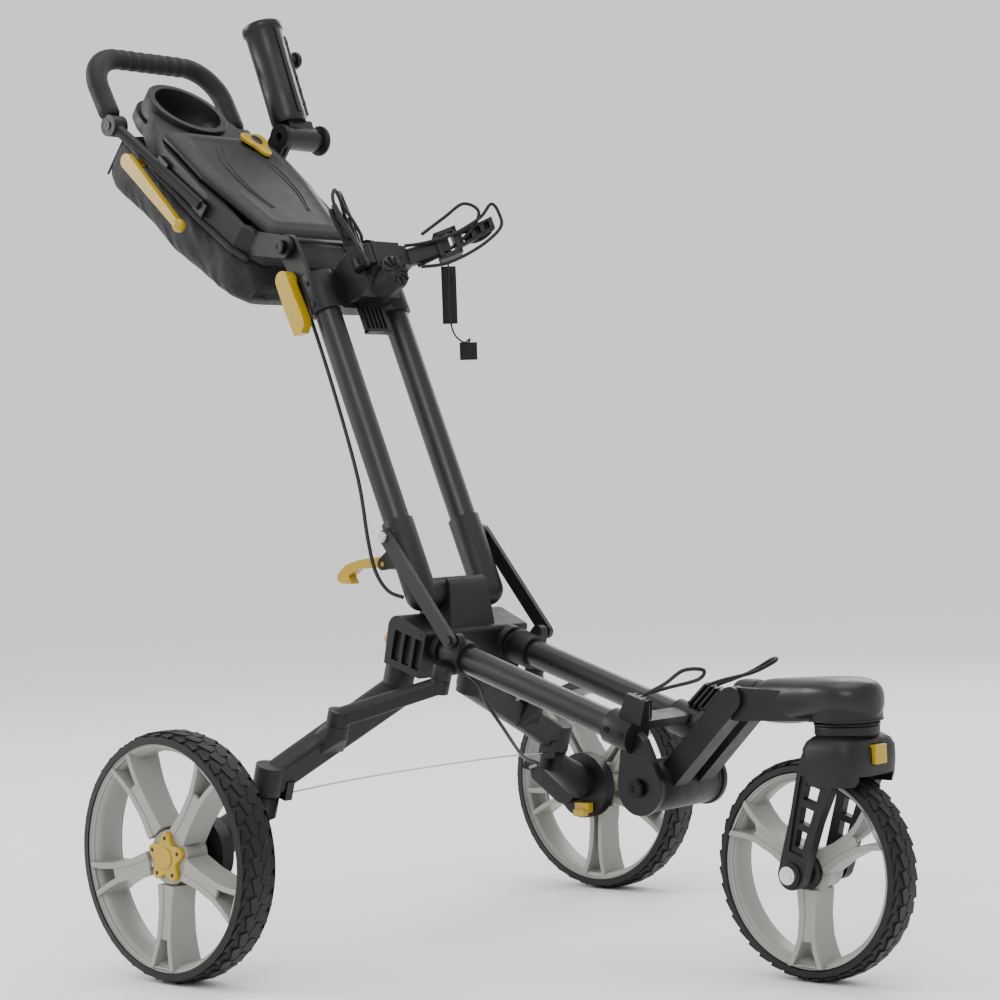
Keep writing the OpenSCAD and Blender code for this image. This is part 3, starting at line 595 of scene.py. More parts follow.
def tyre_profile(radius, rim, width, depth):
    """The tyre's section of (radius, y): beads, side walls and the floor of the tread."""
    half = width / 2
    tread = [(crown(radius, width, y) - depth, y) for y in
             [half * 0.9 * (k / 10 - 1) for k in range(21)]]
    wall_out = crown(radius, width, half) - 3.5
    right = [(rim, -half + 4), (rim + 1.5, -half + 1.8), (rim + 4, -half + 0.9), (rim + 5, -half + 1.8),
             (rim + 7, -half + 1.0), (wall_out - 1, -half + 0.1), (wall_out + 1.5, -half + 0.6)]
    return right + tread + [(r, -y) for r, y in reversed(right)]


def new_tree(name, inputs):
    """A Geometry Nodes tree that takes a geometry and named inputs; returns it and what it is given."""
    tree = bpy.data.node_groups.new(name, "GeometryNodeTree")
    for key, kind in {"Geometry": "Geometry", **inputs}.items():
        tree.interface.new_socket(key, in_out="INPUT", socket_type="NodeSocket" + kind)
    tree.interface.new_socket("Geometry", in_out="OUTPUT", socket_type="NodeSocketGeometry")
    return tree, add(tree, "NodeGroupInput").outputs


def outward_turn(tree, mask, **facts):
    """The rotation that turns an instance's Z along its point's place, in the axes of the mask."""
    place = add(tree, "GeometryNodeInputPosition")
    out = add(tree, "ShaderNodeVectorMath", operation="MULTIPLY", a=place.outputs["Position"], b=mask)
    return add(tree, "FunctionNodeAlignEulerToVector", axis="Z", Vector=out.outputs["Vector"],
               **facts).outputs["Rotation"]


def finish_tree(tree, shape, material):
    """Ends a tree in real geometry with its material set."""
    real = add(tree, "GeometryNodeRealizeInstances", Geometry=shape)
    paint = add(tree, "GeometryNodeSetMaterial", Geometry=real.outputs["Geometry"], Material=material)
    add(tree, "NodeGroupOutput", Geometry=paint.outputs["Geometry"])


def tread_tree(rows):
    """Geometry Nodes: rows of skewed blocks round a tyre's crown, joined to its carcass."""
    tree, given = new_tree("tread_blocks", {"Blocks": "Int", "Radius": "Float", "Length": "Float",
                                            "Width": "Float", "Height": "Float", "Rubber": "Material"})
    join = add(tree, "GeometryNodeJoinGeometry", Geometry=given["Geometry"])
    for across, drop, skew, shift, long_share, wide_share in rows:
        ring = add(tree, "GeometryNodeMeshCircle", Vertices=given["Blocks"],
                   Radius=maths(tree, "SUBTRACT", given["Radius"], drop))
        stand = add(tree, "GeometryNodeTransform", Rotation=(math.pi / 2, shift, 0),
                    Translation=(0, across, 0), Geometry=ring.outputs["Mesh"])
        size = add(tree, "ShaderNodeCombineXYZ", X=maths(tree, "MULTIPLY", given["Length"], long_share),
                   Y=maths(tree, "MULTIPLY", given["Width"], wide_share), Z=given["Height"])
        block = add(tree, "GeometryNodeMeshCube", Size=size.outputs["Vector"])
        spread = add(tree, "GeometryNodeInstanceOnPoints", Points=stand.outputs["Geometry"],
                     Instance=block.outputs["Mesh"], Rotation=outward_turn(tree, (1, 0, 1), pivot_axis="Y"))
        twist = add(tree, "GeometryNodeRotateInstances", Rotation=(0, 0, skew),
                    Instances=spread.outputs["Instances"])
        tree.links.new(twist.outputs["Instances"], join.inputs["Geometry"])
    finish_tree(tree, join.outputs["Geometry"], given["Rubber"])
    return tree


def bake_nodes(mesh, tree, values):
    """A mesh run through a node tree with its named inputs set, as a plain mesh."""
    holder = link_object("holder", mesh)
    maker = holder.modifiers.new("Nodes", "NODES")
    maker.node_group = tree
    for item in tree.interface.items_tree:
        if item.item_type == "SOCKET" and item.in_out == "INPUT" and item.name in values:
            maker[item.identifier] = values[item.name]
    bpy.context.view_layer.update()
    depsgraph = bpy.context.evaluated_depsgraph_get()
    made = bpy.data.meshes.new_from_object(holder.evaluated_get(depsgraph))
    bpy.data.objects.remove(holder)
    return made


class TROLLEY_OT_tyres(bpy.types.Operator):
    """Make the three tyres, their tread blocks laid by Geometry Nodes"""
    bl_idname = "trolley.tyres"
    bl_label = "Tyres"

    def execute(self, context):
        sizes = context.scene.trolley_sizes
        depth = sizes.tread_depth / MM
        step = 2 * math.pi / sizes.tread_count
        for wheel in WHEELS:
            radius, width = wheel.radius, wheel.width
            bm = bmesh.new()
            add_lathe(bm, tyre_profile(radius, wheel.rim, width, depth), 144)
            rows = [(y * width, radius - crown(radius, width, abs(y) * width) + depth * 0.98, skew, shift * step,
                     long_share, wide_share) for y, skew, shift, long_share, wide_share in TREAD_ROWS]
            mesh = bake_nodes(shape_from(bm, "carcass"), tread_tree(rows), {
                "Blocks": sizes.tread_count, "Radius": radius, "Width": width, "Height": depth * 1.9,
                "Length": 2 * math.pi * radius / sizes.tread_count * 0.84, "Rubber": FINISH["tyre"]})
            put_piece("tyre_" + wheel.name, mesh, wheel_place(wheel.side), "tyre", wheel.body, sharp=40,
                      replaces=(wheel.tyre_node,))
        return {"FINISHED"}


def spoke_ring(angle, radius, across, half, y0, y1):
    """The four corners of a spoke's section at a radius, across being its shift to one side."""
    a = math.radians(angle)
    out = Vector((math.cos(a), 0, math.sin(a)))
    side = Vector((-math.sin(a), 0, math.cos(a)))
    return [radius * out + (across + s * half) * side + Vector((0, y, 0))
            for s, y in ((-1, y0), (1, y0), (1, y1), (-1, y1))]


def add_spoke(bm, angle, hub, rim, front, back, flare):
    """One spoke: two deep ribs that part towards the rim, and the web between them."""
    for s in (-1, 1):
        add_loft(bm, [spoke_ring(angle, r, s * a, h, f, b) for r, a, h, f, b in (
            (hub - 6, 8.5, 4.2, front, back), (rim * 0.45, 6.6, 3.6, front - 0.6, back),
            (rim * 0.68, 6.4 + flare * 0.12, 3.3, front - 2.4, back + 1),
            (rim * 0.82, 6.4 + flare * 0.45, 3.1, front - 4.2, back + 2),
            (rim - 3.0, 6.4 + flare, 3.0, front - 6, back + 3))])
    add_loft(bm, [spoke_ring(angle, r, 0, h, f, f + 4) for r, h, f in (
        (hub - 6, 8, front + 1.0), (rim * 0.45, 5, front + 0.4), (rim * 0.68, 5, front - 1.4),
        (rim * 0.72, 5, front - 1.6))])
    add_loft(bm, [spoke_ring(angle, r, 0, h, f, f + 3) for r, h, f in (
        (rim * 0.955, 6 + flare * 0.9, front - 4.4), (rim - 3.0, 7 + flare, front - 4.8))])


class TROLLEY_OT_rims(bpy.types.Operator):
    """Make the three rims with their boxed spokes, and the yellow hub caps"""
    bl_idname = "trolley.rims"
    bl_label = "Rims"

    def execute(self, context):
        for wheel in WHEELS:
            face, dish, hub = -wheel.width / 2 + 2, wheel.dish, wheel.hub
            rear = wheel.side != 0
            bm = bmesh.new()
            r, w = wheel.rim - 0.05, -face
            add_lathe(bm, [(r, face), (r, w), (r - 2.4, w), (r - 3, w - 3), (r - 7, w - 6), (r - 8.5, w - 14),
                           (r - 8.5, face + 12), (r - 7, face + 7), (r - 4.6, face + 4.6), (r - 4.6, face + 2.6),
                           (r - 2.2, face + 1.8), (r - 2.0, face)], 128)
            add_lathe(bm, [(14, face + dish + 0.1), (hub, face + dish + 0.1), (hub + 1, face + dish + 2),
                           (hub - 3, 4), (hub - 4, w), (14, w)], 64)
            for k in range(wheel.spokes):
                add_spoke(bm, wheel.phase + k * 360 / wheel.spokes, hub + 6.8 if rear else hub, wheel.rim,
                          face + dish - 4, w - 6, 9.5 if rear else 12.0)
            put_piece("rim_" + wheel.name, bm, wheel_place(wheel.side), "rim", wheel.body, bevel=0.7,
                      replaces=(wheel.rim_node,))
            if rear:
                self.cap(wheel)
            else:
                self.front_hub(wheel.body)
        return {"FINISHED"}

    def cap(self, wheel):
        """A five-lobed star with a raised middle and a small screw in each lobe."""
        y = -REAR_W / 2 + 10.9
        place = wheel_place(wheel.side)
        star = [(math.radians(b), 22.5 + 5 * math.cos(math.radians(5 * (b - wheel.phase + 36))))
                for b in range(0, 360, 4)]
        edge = ((0, 1.0), (3.4, 1.0), (4.6, 0.975), (5.2, 0.93), (5.3, 0.7), (5.3, 0.55))
        bm = bmesh.new()
        add_loft(bm, [[(math.cos(a) * (r * grow), y - height, math.sin(a) * (r * grow)) for a, r in star]
                      for height, grow in edge])
        add_drum(bm, (0, 0), 11.5, y - 6.6, y - 5.0, 40)
        cap_name = "hub_cap_" + wheel.name
        put_piece(cap_name, bm, place, "accent", wheel.body, bevel=0.5, replaces=(cap_name,))
        bm = bmesh.new()
        for k in range(5):
            a = math.radians(wheel.phase + 72 * (k - 0.5))
            add_lathe(bm, [(0.01, y - 5.9), (1.5, y - 5.9), (2.1, y - 5.5), (2.1, y - 4.9), (0.01, y - 4.9)], 16,
                      (20.5 * math.cos(a), 0, 20.5 * math.sin(a)))
        put_piece("hub_cap_screws_" + wheel.name, bm, place, "dark_steel", wheel.body)

    def front_hub(self, body):
        """The black collar round the front hub on both faces."""
        bm = bmesh.new()
        for s in (-1, 1):
            y = s * (FRONT_W / 2 + 1)
            add_lathe(bm, [(8, y), (15, y), (18, y - s * 3), (18, y - s * 7), (8, y - s * 7)], 48)
        put_piece("front_hub_collars", bm, wheel_place(0), "body", body, bevel=0.5)


# ---- console ----

class TROLLEY_OT_grip(bpy.types.Operator):
    """Make the looped hand grip with its finger grooves and end collars"""
    bl_idname = "trolley.grip"
    bl_label = "Hand grip"

    def execute(self, context):
        half, back, bend = 98.0, -103.0, 48.0
        side = [Vector((x, half, 0)) for x in [-13.2 - 2.1 * k for k in range(20)]]
        arc = [Vector((back + bend - bend * math.sin(a), half - bend + bend * math.cos(a), 0))
               for a in [math.radians(90 * k / 22) for k in range(23)]]
        bar = [Vector((back, y, 0)) for y in [half - bend - 2.0 * k for k in range(1, 50)]]
        path = side + arc + bar + [Vector((p.x, -p.y, 0)) for p in reversed(side + arc)]

        def radius(i):
            p = path[i]
            grooved = p.x < back + 14 and abs(p.y) < 62
            groove = 0.9 * (0.5 - 0.5 * math.cos(p.y / 7.2 * math.pi)) if grooved else 0.0
            end = min(i, len(path) - 1 - i)
            return 13.4 - groove - (1.6 if end < 2 else 0.0)

        bm = bmesh.new()
        add_sweep(bm, path, radius, 28, flat=0.86)
        put_piece("hand_grip", bm, GRIP, "grip", "console", replaces=("handle_grip",))
        bm = bmesh.new()
        for i in range(44, len(path) - 44, 4):
            p = path[i]
            if abs(p.y) < 48:
                hoop = [(p.x + 13 * x, p.z + 11.2 * z) for x, z in circle_points(1, 28)]
                add_slab(bm, hoop, p.y - 0.5, p.y + 0.5)
        put_piece("hand_grip_ribs", bm, GRIP, "grip", "console", bevel=0.3)
        return {"FINISHED"}


# the lid's left corners as (x, y, radius), its middle, and its rings of (share of the outline, height)
LID_CORNERS = ((-228, 68, 18), (-150, 72, 14), (-46, 52, 12))
LID_MID = -137.0
LID_RINGS = ((1.0, -12.4), (1.0, -8.5), (0.992, -6.4), (0.975, -4.6), (0.95, -3.0), (0.92, -1.4), (0.9, -0.7),
             (0.87, 0.2), (0.84, 1.5), (0.82, 2.0), (0.795, 1.5), (0.78, 0.6), (0.76, 0.2), (0.6, 0.9),
             (0.35, 1.3), (0.12, 1.4))


def lid_outline(grow, z):
    """The lid's rounded outline about its middle, drawn in by a share."""
    order = [*LID_CORNERS, *[(x, -y, r) for x, y, r in reversed(LID_CORNERS)]]
    pts = []
    # walk the hull of the six round corners
    for k, (x, y, r) in enumerate(order):
        a0 = outer_angle(order[k - 1], (x, y, r))
        a1 = outer_angle((x, y, r), order[(k + 1) % 6])
        while a1 > a0 + 1e-6:
            a1 -= 2 * math.pi
        for j in range(9):
            a = a0 + (a1 - a0) * j / 8
            pts.append((x + r * math.cos(a), y + r * math.sin(a)))
    return [(LID_MID + (x - LID_MID) * grow, y * grow ** 1.25, z) for x, y in pts]


def outer_angle(a, b):
    """Direction of the outward normal of the common tangent from round corner a to b, going clockwise."""
    dx, dy = b[0] - a[0], b[1] - a[1]
    gap = math.hypot(dx, dy)
    return math.atan2(dy, dx) + math.pi / 2 + math.asin((b[2] - a[2]) / gap)


class TROLLEY_OT_lid(bpy.types.Operator):
    """Make the console lid with its raised rim, relief lines and yellow latch"""
    bl_idname = "trolley.lid"
    bl_label = "Console lid"

    def execute(self, context):
        bm = bmesh.new()
        add_loft(bm, [lid_outline(grow, z) for grow, z in LID_RINGS])
        add_slab(bm, [(-40, -12), (-24, -12), (-24, -7), (-40, -7)], -50, 50)
        add_drum(bm, (-27, -8.4), 4, -51.6, 51.6, 32)
        put_piece("console_lid_shell", bm, CONSOLE, "lid", "lid", replaces=("console_lid",))
        bm = bmesh.new()
        for s in (-1, 1):
            for shift in (0, 9):
                line = smooth_path([(-206, s * (20 + shift), 1.0), (-168, s * (34 + shift), 1.0),
                                    (-120, s * (36 + shift * 0.6), 1.0), (-82, s * (26 + shift * 0.4), 0.9)], 10)
                add_sweep(bm, line, lambda i: 1.3, 10, flat=0.8)
        put_piece("console_lid_relief", bm, CONSOLE, "lid", "lid")
        bm = bmesh.new()
        trefoil = [(19.5 + 4.6 * math.cos(3 * a), a) for a in [2 * math.pi * k / 60 for k in range(60)]]
        add_loft(bm, [[(-220 + r * math.cos(a) * grow * 1.12, 43 + r * math.sin(a) * grow * 0.85, z)
                       for r, a in trefoil] for z, grow in ((3.0, 1.0), (6.4, 1.0), (7.6, 0.93), (7.9, 0.82))])
        add_post(bm, (-224, 50), ((4, -10), (4, 4)), 20)
        put_piece("lid_catch_plate", bm, CONSOLE, "accent", "lid_catch", bevel=0.4, replaces=("lid_latch",))
        bm = bmesh.new()
        add_loft(bm, [[(-223 + 9.5 * g * x, 43 + 6.4 * g * y, z) for x, y in circle_points(1, 32)]
                      for z, g in ((7.6, 1.0), (8.5, 1.0), (8.9, 0.85))])
        put_piece("lid_catch_badge", bm, CONSOLE, "gloss", "lid_catch")
        return {"FINISHED"}


# the bag's lowest height and its half width at its top edge, along the console
BAG_FLOOR = ((-310, -78), (-308, -112), (-290, -121), (-262, -119), (-212, -114), (-160, -117), (-92, -109),
             (-40, -101), (-14, -91), (-4, -74))
BAG_EDGE = ((-312, 70), (-300, 76), (-258, 86), (-215, 95), (-120, 95), (-58, 87), (-26, 70), (-2, 62))


def along(table, x):
    """The value at x on a line of (x, value) points."""
    for (x0, v0), (x1, v1) in zip(table, table[1:]):
        if x <= x1:
            t = min(1.0, max(0.0, (x - x0) / (x1 - x0)))
            return v0 + (v1 - v0) * t
    return table[-1][1]


class TROLLEY_OT_bag(bpy.types.Operator):
    """Make the sagging nylon storage bag under the console, its hem and its seams"""
    bl_idname = "trolley.bag"
    bl_label = "Storage bag"

    def execute(self, context):
        rings = []
        count, around = 110, 84
        for i in range(count):
            x = -309 + i / (count - 1) * 303
            low = along(BAG_FLOOR, x)
            lid = -42.0 if x > -262 else -52.0
            if x > -30:
                lid -= (x + 30) * 0.6
            edge = along(BAG_EDGE, x)
            ring = []
            for c, s in circle_points(1, around):
                z = (lid + low) / 2 + (lid - low) / 2 * squared(s, 0.42)
                depth = max(0.0, (lid - z) / max(1.0, lid - low))
                half = edge + (78 - edge) * depth ** 1.6
                y = half * squared(c, 0.3)
                slack = min(1.0, depth * 2.6)
                drape = noise.noise(Vector((x * 0.021 - z * 0.016, 1.3 + 0.004 * y, z * 0.012)))
                fold = noise.fractal(Vector((x * 0.03 + z * 0.035, y * 0.012, z * 0.02 + 4)), 0.8, 2.2, 4)
                crease = abs(noise.noise(Vector((x * 0.035 + z * 0.05, 3.7, y * 0.01))))
                swell = (5.2 * drape + 2.4 * fold - 3.4 * crease) * slack * abs(c)
                drop = (2.2 * fold + 2.0 * drape) * depth * (1 - abs(c))
                ring.append((x + 1.4 * fold, y + swell * math.copysign(1, c), z + drop))
            rings.append(ring)
        bm = bmesh.new()
        add_loft(bm, rings)
        uv = bm.loops.layers.uv.new("cloth")
        for face in bm.faces:
            for loop in face.loops:
                co = loop.vert.co
                loop[uv].uv = (co.x * 0.01, (co.z if abs(co.y) > 60 else co.y) * 0.01)
        bag = put_piece("storage_bag_shell", bm, CONSOLE, "cloth", "console", subdiv=1,
                        replaces=("storage_bag",))
        bm = bmesh.new()
        for s in (-1, 1):
            hem = [Vector((x, s * (along(BAG_EDGE, x) + 0.4), -44.0 if x > -256 else -53.5))
                   for x in range(-300, -34, 6)]
            add_sweep(bm, hem, lambda i: 2.0, 10, flat=1.8)
            end = [Vector((-309, s * 72, z)) for z in range(-110, -52, 5)]
            add_sweep(bm, end, lambda i: 1.6, 10, side=Vector((1, 0, 0)))
        put_piece("storage_bag_piping", bm, CONSOLE, "cord", "console")
        return {"FINISHED"}


# ---- umbrella holder ----

class TROLLEY_OT_umbrella(bpy.types.Operator):
    """Make the umbrella tube with its rim, seam and clip, and the two clamp knobs"""
    bl_idname = "trolley.umbrella"
    bl_label = "Umbrella holder"

    def execute(self, context):
        bore, skin = 18.0, 23.0
        profile = ((bore, 22), (bore, 153), (skin + 2.2, 153), (skin + 2.5, 151), (skin + 2.5, 146),
                   (skin + 1.2, 144), (skin, 142), (skin - 0.4, 100), (skin - 0.8, 60), (skin - 0.6, 24),
                   (skin - 3, 18), (3, 17.6), (3, 22))
        bm = bmesh.new()
        add_loft(bm, [[(r * c, r * s, z) for r, z in profile] for c, s in circle_points(1, 72)], close=True)
        # clip along the outer side, its ribs and the seam of the two halves
        add_box(bm, (-9.5, 12, 30), (9.5, 28.5, 140))
        for z in (44, 62, 80, 128):
            add_box(bm, (-11.5, 14, z), (11.5, 27, z + 5))
        for x in (-1, 1):
            add_box(bm, (x * 23.4 - 1.4, -3, 26), (x * 23.4 + 1.4, 3, 142))
        add_box(bm, (-12, -12, 8), (12, 27, 20))
        add_drum(bm, (0, 0), 15, -13.5, 30, 48)
        put_piece("umbrella_tube", bm, UMBRELLA, "gloss", "umbrella", bevel=0.8, replaces=("umbrella_holder",))
        for name, body, radius, start, z, node in (("tilt_knob", "umbrella_nut", 19, 30.4, 0, "umbrella_knob"),
                                                   ("clip_knob", "clamp_nut", 11, 29.4, 112, "clamp_knob")):
            bm = bmesh.new()
            add_lathe(bm, [(0.01, start - 7), (3, start - 7), (3, start), (radius * 0.5, start),
                           (radius * 0.42, start + 5), (radius * 0.5, start + 8), (radius * 0.88, start + 9.2),
                           (radius * 0.99, start + 11), (radius * 0.98, start + 14), (radius * 0.8, start + 16.6),
                           (radius * 0.4, start + 17.7), (0.01, start + 17.9)], 48,
                      (0, 0, z))
            put_piece(name, bm, UMBRELLA, "body", body, bevel=0.4, replaces=(node,))
        return {"FINISHED"}


# ---- bag cradles ----

ARM_PIVOT = (54, 27)
# routes of the left arm's two elastic loops
ARM_LOOPS = {
    "outer": ((62, 38, 404), (82, 50, 398), (104, 76, 399), (124, 108, 412), (134, 124, 426), (134, 132, 414),
              (132, 128, 396), (116, 100, 378), (92, 66, 368), (72, 42, 372)),
    "inner": ((66, 44, 376), (90, 72, 384), (112, 98, 400), (124, 110, 420), (116, 98, 434), (100, 78, 424),
              (80, 52, 410)),
}


def arm_frame(u, v, w):
    """A point of a left cradle arm: u out along it, v across it, w up the tubes."""
    rise = 0.0011 * u * u
    return (ARM_PIVOT[0] + 0.595 * u - 0.804 * v, ARM_PIVOT[1] + 0.804 * u + 0.595 * v, 388 + w + rise)


def add_arm_block(bm, u0, u1, v0, v1, low0, high0, low1, high1):
    """A block of the arm from u0 to u1, with its lower and upper edges at each end."""
    steps = 6
    rings = []
    for k in range(steps + 1):
        t = k / steps
        u = u0 + (u1 - u0) * t
        lo, hi = low0 + (low1 - low0) * t, high0 + (high1 - high0) * t
        rings.append([arm_frame(u, v0, lo), arm_frame(u, v1, lo), arm_frame(u, v1, hi), arm_frame(u, v0, hi)])
    add_loft(bm, rings)


class TROLLEY_OT_cradles(bpy.types.Operator):
    """Make the slotted arms, buckles, straps and elastic loops that hold the golf bag"""
    bl_idname = "trolley.cradles"
    bl_label = "Bag cradles"

    def execute(self, context):
        elastic = context.scene.trolley_sizes.cord_diameter
        for side, tail, sign in SIDES:
            place = UPPER if sign > 0 else UPPER @ MIRROR_Y
            bm = bmesh.new()
            add_arm_block(bm, 6, 64, -4.5, 4.5, -10, 9, -9, 8)
            for w in (-9.5, 6.5):
                add_arm_block(bm, 12, 60, -6, 6, w, w + 3, w + 0.6, w + 3)
            # the buckle is an open frame
            for low, high in ((-17, -11), (11, 17)):
                add_arm_block(bm, 48, 76, -8, 9, low, high, low, high)
            for u in (48, 70):
                add_arm_block(bm, u, u + 6, -8, 9, -16, 16, -16, 16)
            # the tongue is a ladder with square windows, drawn in towards its tip
            for low0, high0, low1, high1 in ((-10, -5.5, -6, -2.5), (5.5, 10, 5, 8.5)):
                add_arm_block(bm, 74, 122, -3.2, 3.2, low0, high0, low1, high1)
            for u in (75, 92, 104, 116):
                add_arm_block(bm, u, u + 6, -3.2, 3.2, -8, 8, -7, 7)
            add_post(bm, ARM_PIVOT, ((14, 376.6), (14, 401)), 40)
            add_post(bm, ARM_PIVOT, ((9, 401), (9, 403.5)), 32)
            put_piece("cradle_arm_" + side, bm, place, "body", "cradle" + tail,
                      bevel=0.9, replaces=("cradle_arm_" + side,))
            bm = bmesh.new()
            add_loft(bm, [[arm_frame(104 + 20 * grow * c, v, 10.5 * grow * s) for c, s in circle_points(1, 40)]
                          for v, grow in ((3.4, 0.9), (4.4, 1.0), (6.8, 1.0), (7.8, 0.93), (8.0, 0.7),
                                          (6.6, 0.55))])
            put_piece("cradle_pad_" + side, bm, place, "grip", "cradle" + tail, bevel=0.3)
            for name, loop in ARM_LOOPS.items():
                route = [(x, y * sign, z) for x, y, z in loop]
                lay_cord("elastic_loop_" + name + "_" + side, route, 5, UPPER, elastic, "cord", "cradle" + tail,
                         stiffness="limp", lay="hanging")
        self.hub()
        self.strap()
        return {"FINISHED"}

    def hub(self):
        """The ribbed round boss on the bracket's front, and the grille under it."""
        bm = bmesh.new()
        rings = [[(x, r * c, 366 + r * s) for c, s in circle_points(1, 60)]
                 for x, r in ((40, 21), (66, 21), (70, 19.5), (72, 16), (72, 8), (70, 6))]
        add_loft(bm, rings)
        for k in range(10):
            a = math.radians(36 * k)
            c, s = math.cos(a), math.sin(a)
            rib = ((7, -1.2), (18, -1.6), (18, 1.6), (7, 1.2))
            add_loft(bm, [[(x, r * c - t * s, 366 + r * s + t * c) for r, t in rib] for x in (69, 73.6)])
        for k in range(5):
            add_box(bm, (11, -15 + 6.6 * k, 318), (20.5, -12.6 + 6.6 * k, 346))
        add_box(bm, (11, -18, 314), (20.5, 18, 318))
        put_piece("bracket_hub", bm, UPPER, "body", "upper_frame", bevel=0.7)

    def strap(self):
        """A flat webbing tab that hangs from the left arm's cords, and the small tag beside it."""
        start = UPPER @ Vector((92, 66, 368))
        for name, wide, long, drop, shift, turn in (("strap_tab", 17, 66, 4, 0, 0.7),
                                                    ("strap_tag", 20, 20, 92, 20, 0.8)):
            bm = bmesh.new()
            rows = []
            for i in range(13):
                t = i / 12
                z = start.z - drop - long * t
                bow = 2.4 * math.sin(t * 2.4)
                reach = [shift + s * wide / 2 for s in (-1, -0.5, 0, 0.5, 1)]
                rows.append([bm.verts.new((start.x + r * math.cos(turn) - bow * math.sin(turn),
                                           start.y + r * math.sin(turn) + bow * math.cos(turn), z))
                             for r in reach])
            uv = bm.loops.layers.uv.new("cloth")
            for a, b in zip(rows, rows[1:]):
                for j in range(4):
                    face = bm.faces.new((a[j], a[j + 1], b[j + 1], b[j]))
                    for loop in face.loops:
                        loop[uv].uv = (loop.vert.co.x * 0.01, loop.vert.co.z * 0.01)
            obj = put_piece(name, bm, Matrix.Identity(4), "cloth", "cradle_l")
            body = obj.modifiers.new("Thick", "SOLIDIFY")
            body.thickness = 1.4 * MM
            body.offset = 0
        # the cord behind the tab that carries the tag
        route = [(0, 0, -1), (3, -3, -30), (3, -3, -62), (6, 0, -82), (13, 8, -92), (17, 14, -88),
                 (14, 14.4, -93)]
        points = [tuple(start + Vector(step)) for step in route]
        lay_cord("strap_cord", points, 6, Matrix.Identity(4), 0.002, "cord", "cradle_l", far_end="knot",
                 stiffness="limp", lay="hanging", with_pieces=[bpy.data.objects["strap_tag"]])


# ---- moulded details ----

def rounded_ring(x, wide, low, high, square=0.7, steps=40):
    """A section across X: a rounded box of half width wide, from low to high."""
    mid, half = (low + high) / 2, (high - low) / 2
    return [(x, wide * squared(c, square), mid + half * squared(s, square)) for c, s in circle_points(1, steps)]


def carve(body, cutters):
    """The body mesh with the cutter meshes taken out of it."""
    holder = link_object("carved", body)
    tools = [link_object("cutter", cutter) for cutter in cutters]
    for tool in tools:
        cut = holder.modifiers.new("Cut", "BOOLEAN")
        cut.operation = "DIFFERENCE"
        cut.solver = "EXACT"
        cut.object = tool
    bpy.context.view_layer.update()
    made = bpy.data.meshes.new_from_object(holder.evaluated_get(bpy.context.evaluated_depsgraph_get()))
    for obj in (holder, *tools):
        bpy.data.objects.remove(obj)
    return made


class TROLLEY_OT_hood(bpy.types.Operator):
    """Make the smooth hood over the swivel head and the level arm"""
    bl_idname = "trolley.hood"
    bl_label = "Front hood"

    def execute(self, context):
        bm = bmesh.new()
        sections = ((516, 19.5, -19, 20.5, 0.8), (517.5, 21.5, -21, 22, 0.8), (526, 23, -22, 23, 0.78),
                    (545, 25.5, -22, 24, 0.74), (562, 28.5, -21, 24.8, 0.7), (577, 32.5, -17, 25.6, 0.66),
                    (590, 35.8, -14.5, 26.2, 0.66), (602, 37.2, -14, 26.6, 0.68), (613, 37.6, -14, 26.8, 0.7),
                    (623, 36.4, -14, 26.4, 0.74), (632, 33, -14, 25.4, 0.8), (640, 27.2, -14, 23.6, 0.86),
                    (646, 19.2, -14, 20.8, 0.92), (649.5, 9.5, -12, 16, 1.0), (650.2, 3, -8, 8, 1.0))
        add_loft(bm, [rounded_ring(x, w, ARM_Z + low, ARM_Z + high, square)
                      for x, w, low, high, square in sections])
        put_piece("swivel_hood", bm, WHOLE, "gloss", "front", subdiv=2, replaces=("swivel_cap",))
        bm = bmesh.new()
        # parting rings under the hood and the sleeve where the level arm enters it
        for z, r in ((262.2, 36.5), (258, 33.2)):
            add_loft(bm, [[(SWIVEL_X + rr * x, rr * y, zz) for rr, zz in
                           ((r, z), (r, z + 1.8), (r - 3, z + 1.8), (r - 3, z))]
                          for x, y in circle_points(1, 72)], close=True)
        put_piece("swivel_rings", bm, WHOLE, "body", "front")
        bm = bmesh.new()
        add_loft(bm, [rounded_ring(x, w, ARM_Z - w, ARM_Z + w, 0.86) for x, w in
                      ((482, 19), (484, 21), (488, 21.6), (504, 21.6), (507, 20.6), (509, 19))])
        put_piece("arm_collar", bm, WHOLE, "body", "front", subdiv=1)
        return {"FINISHED"}


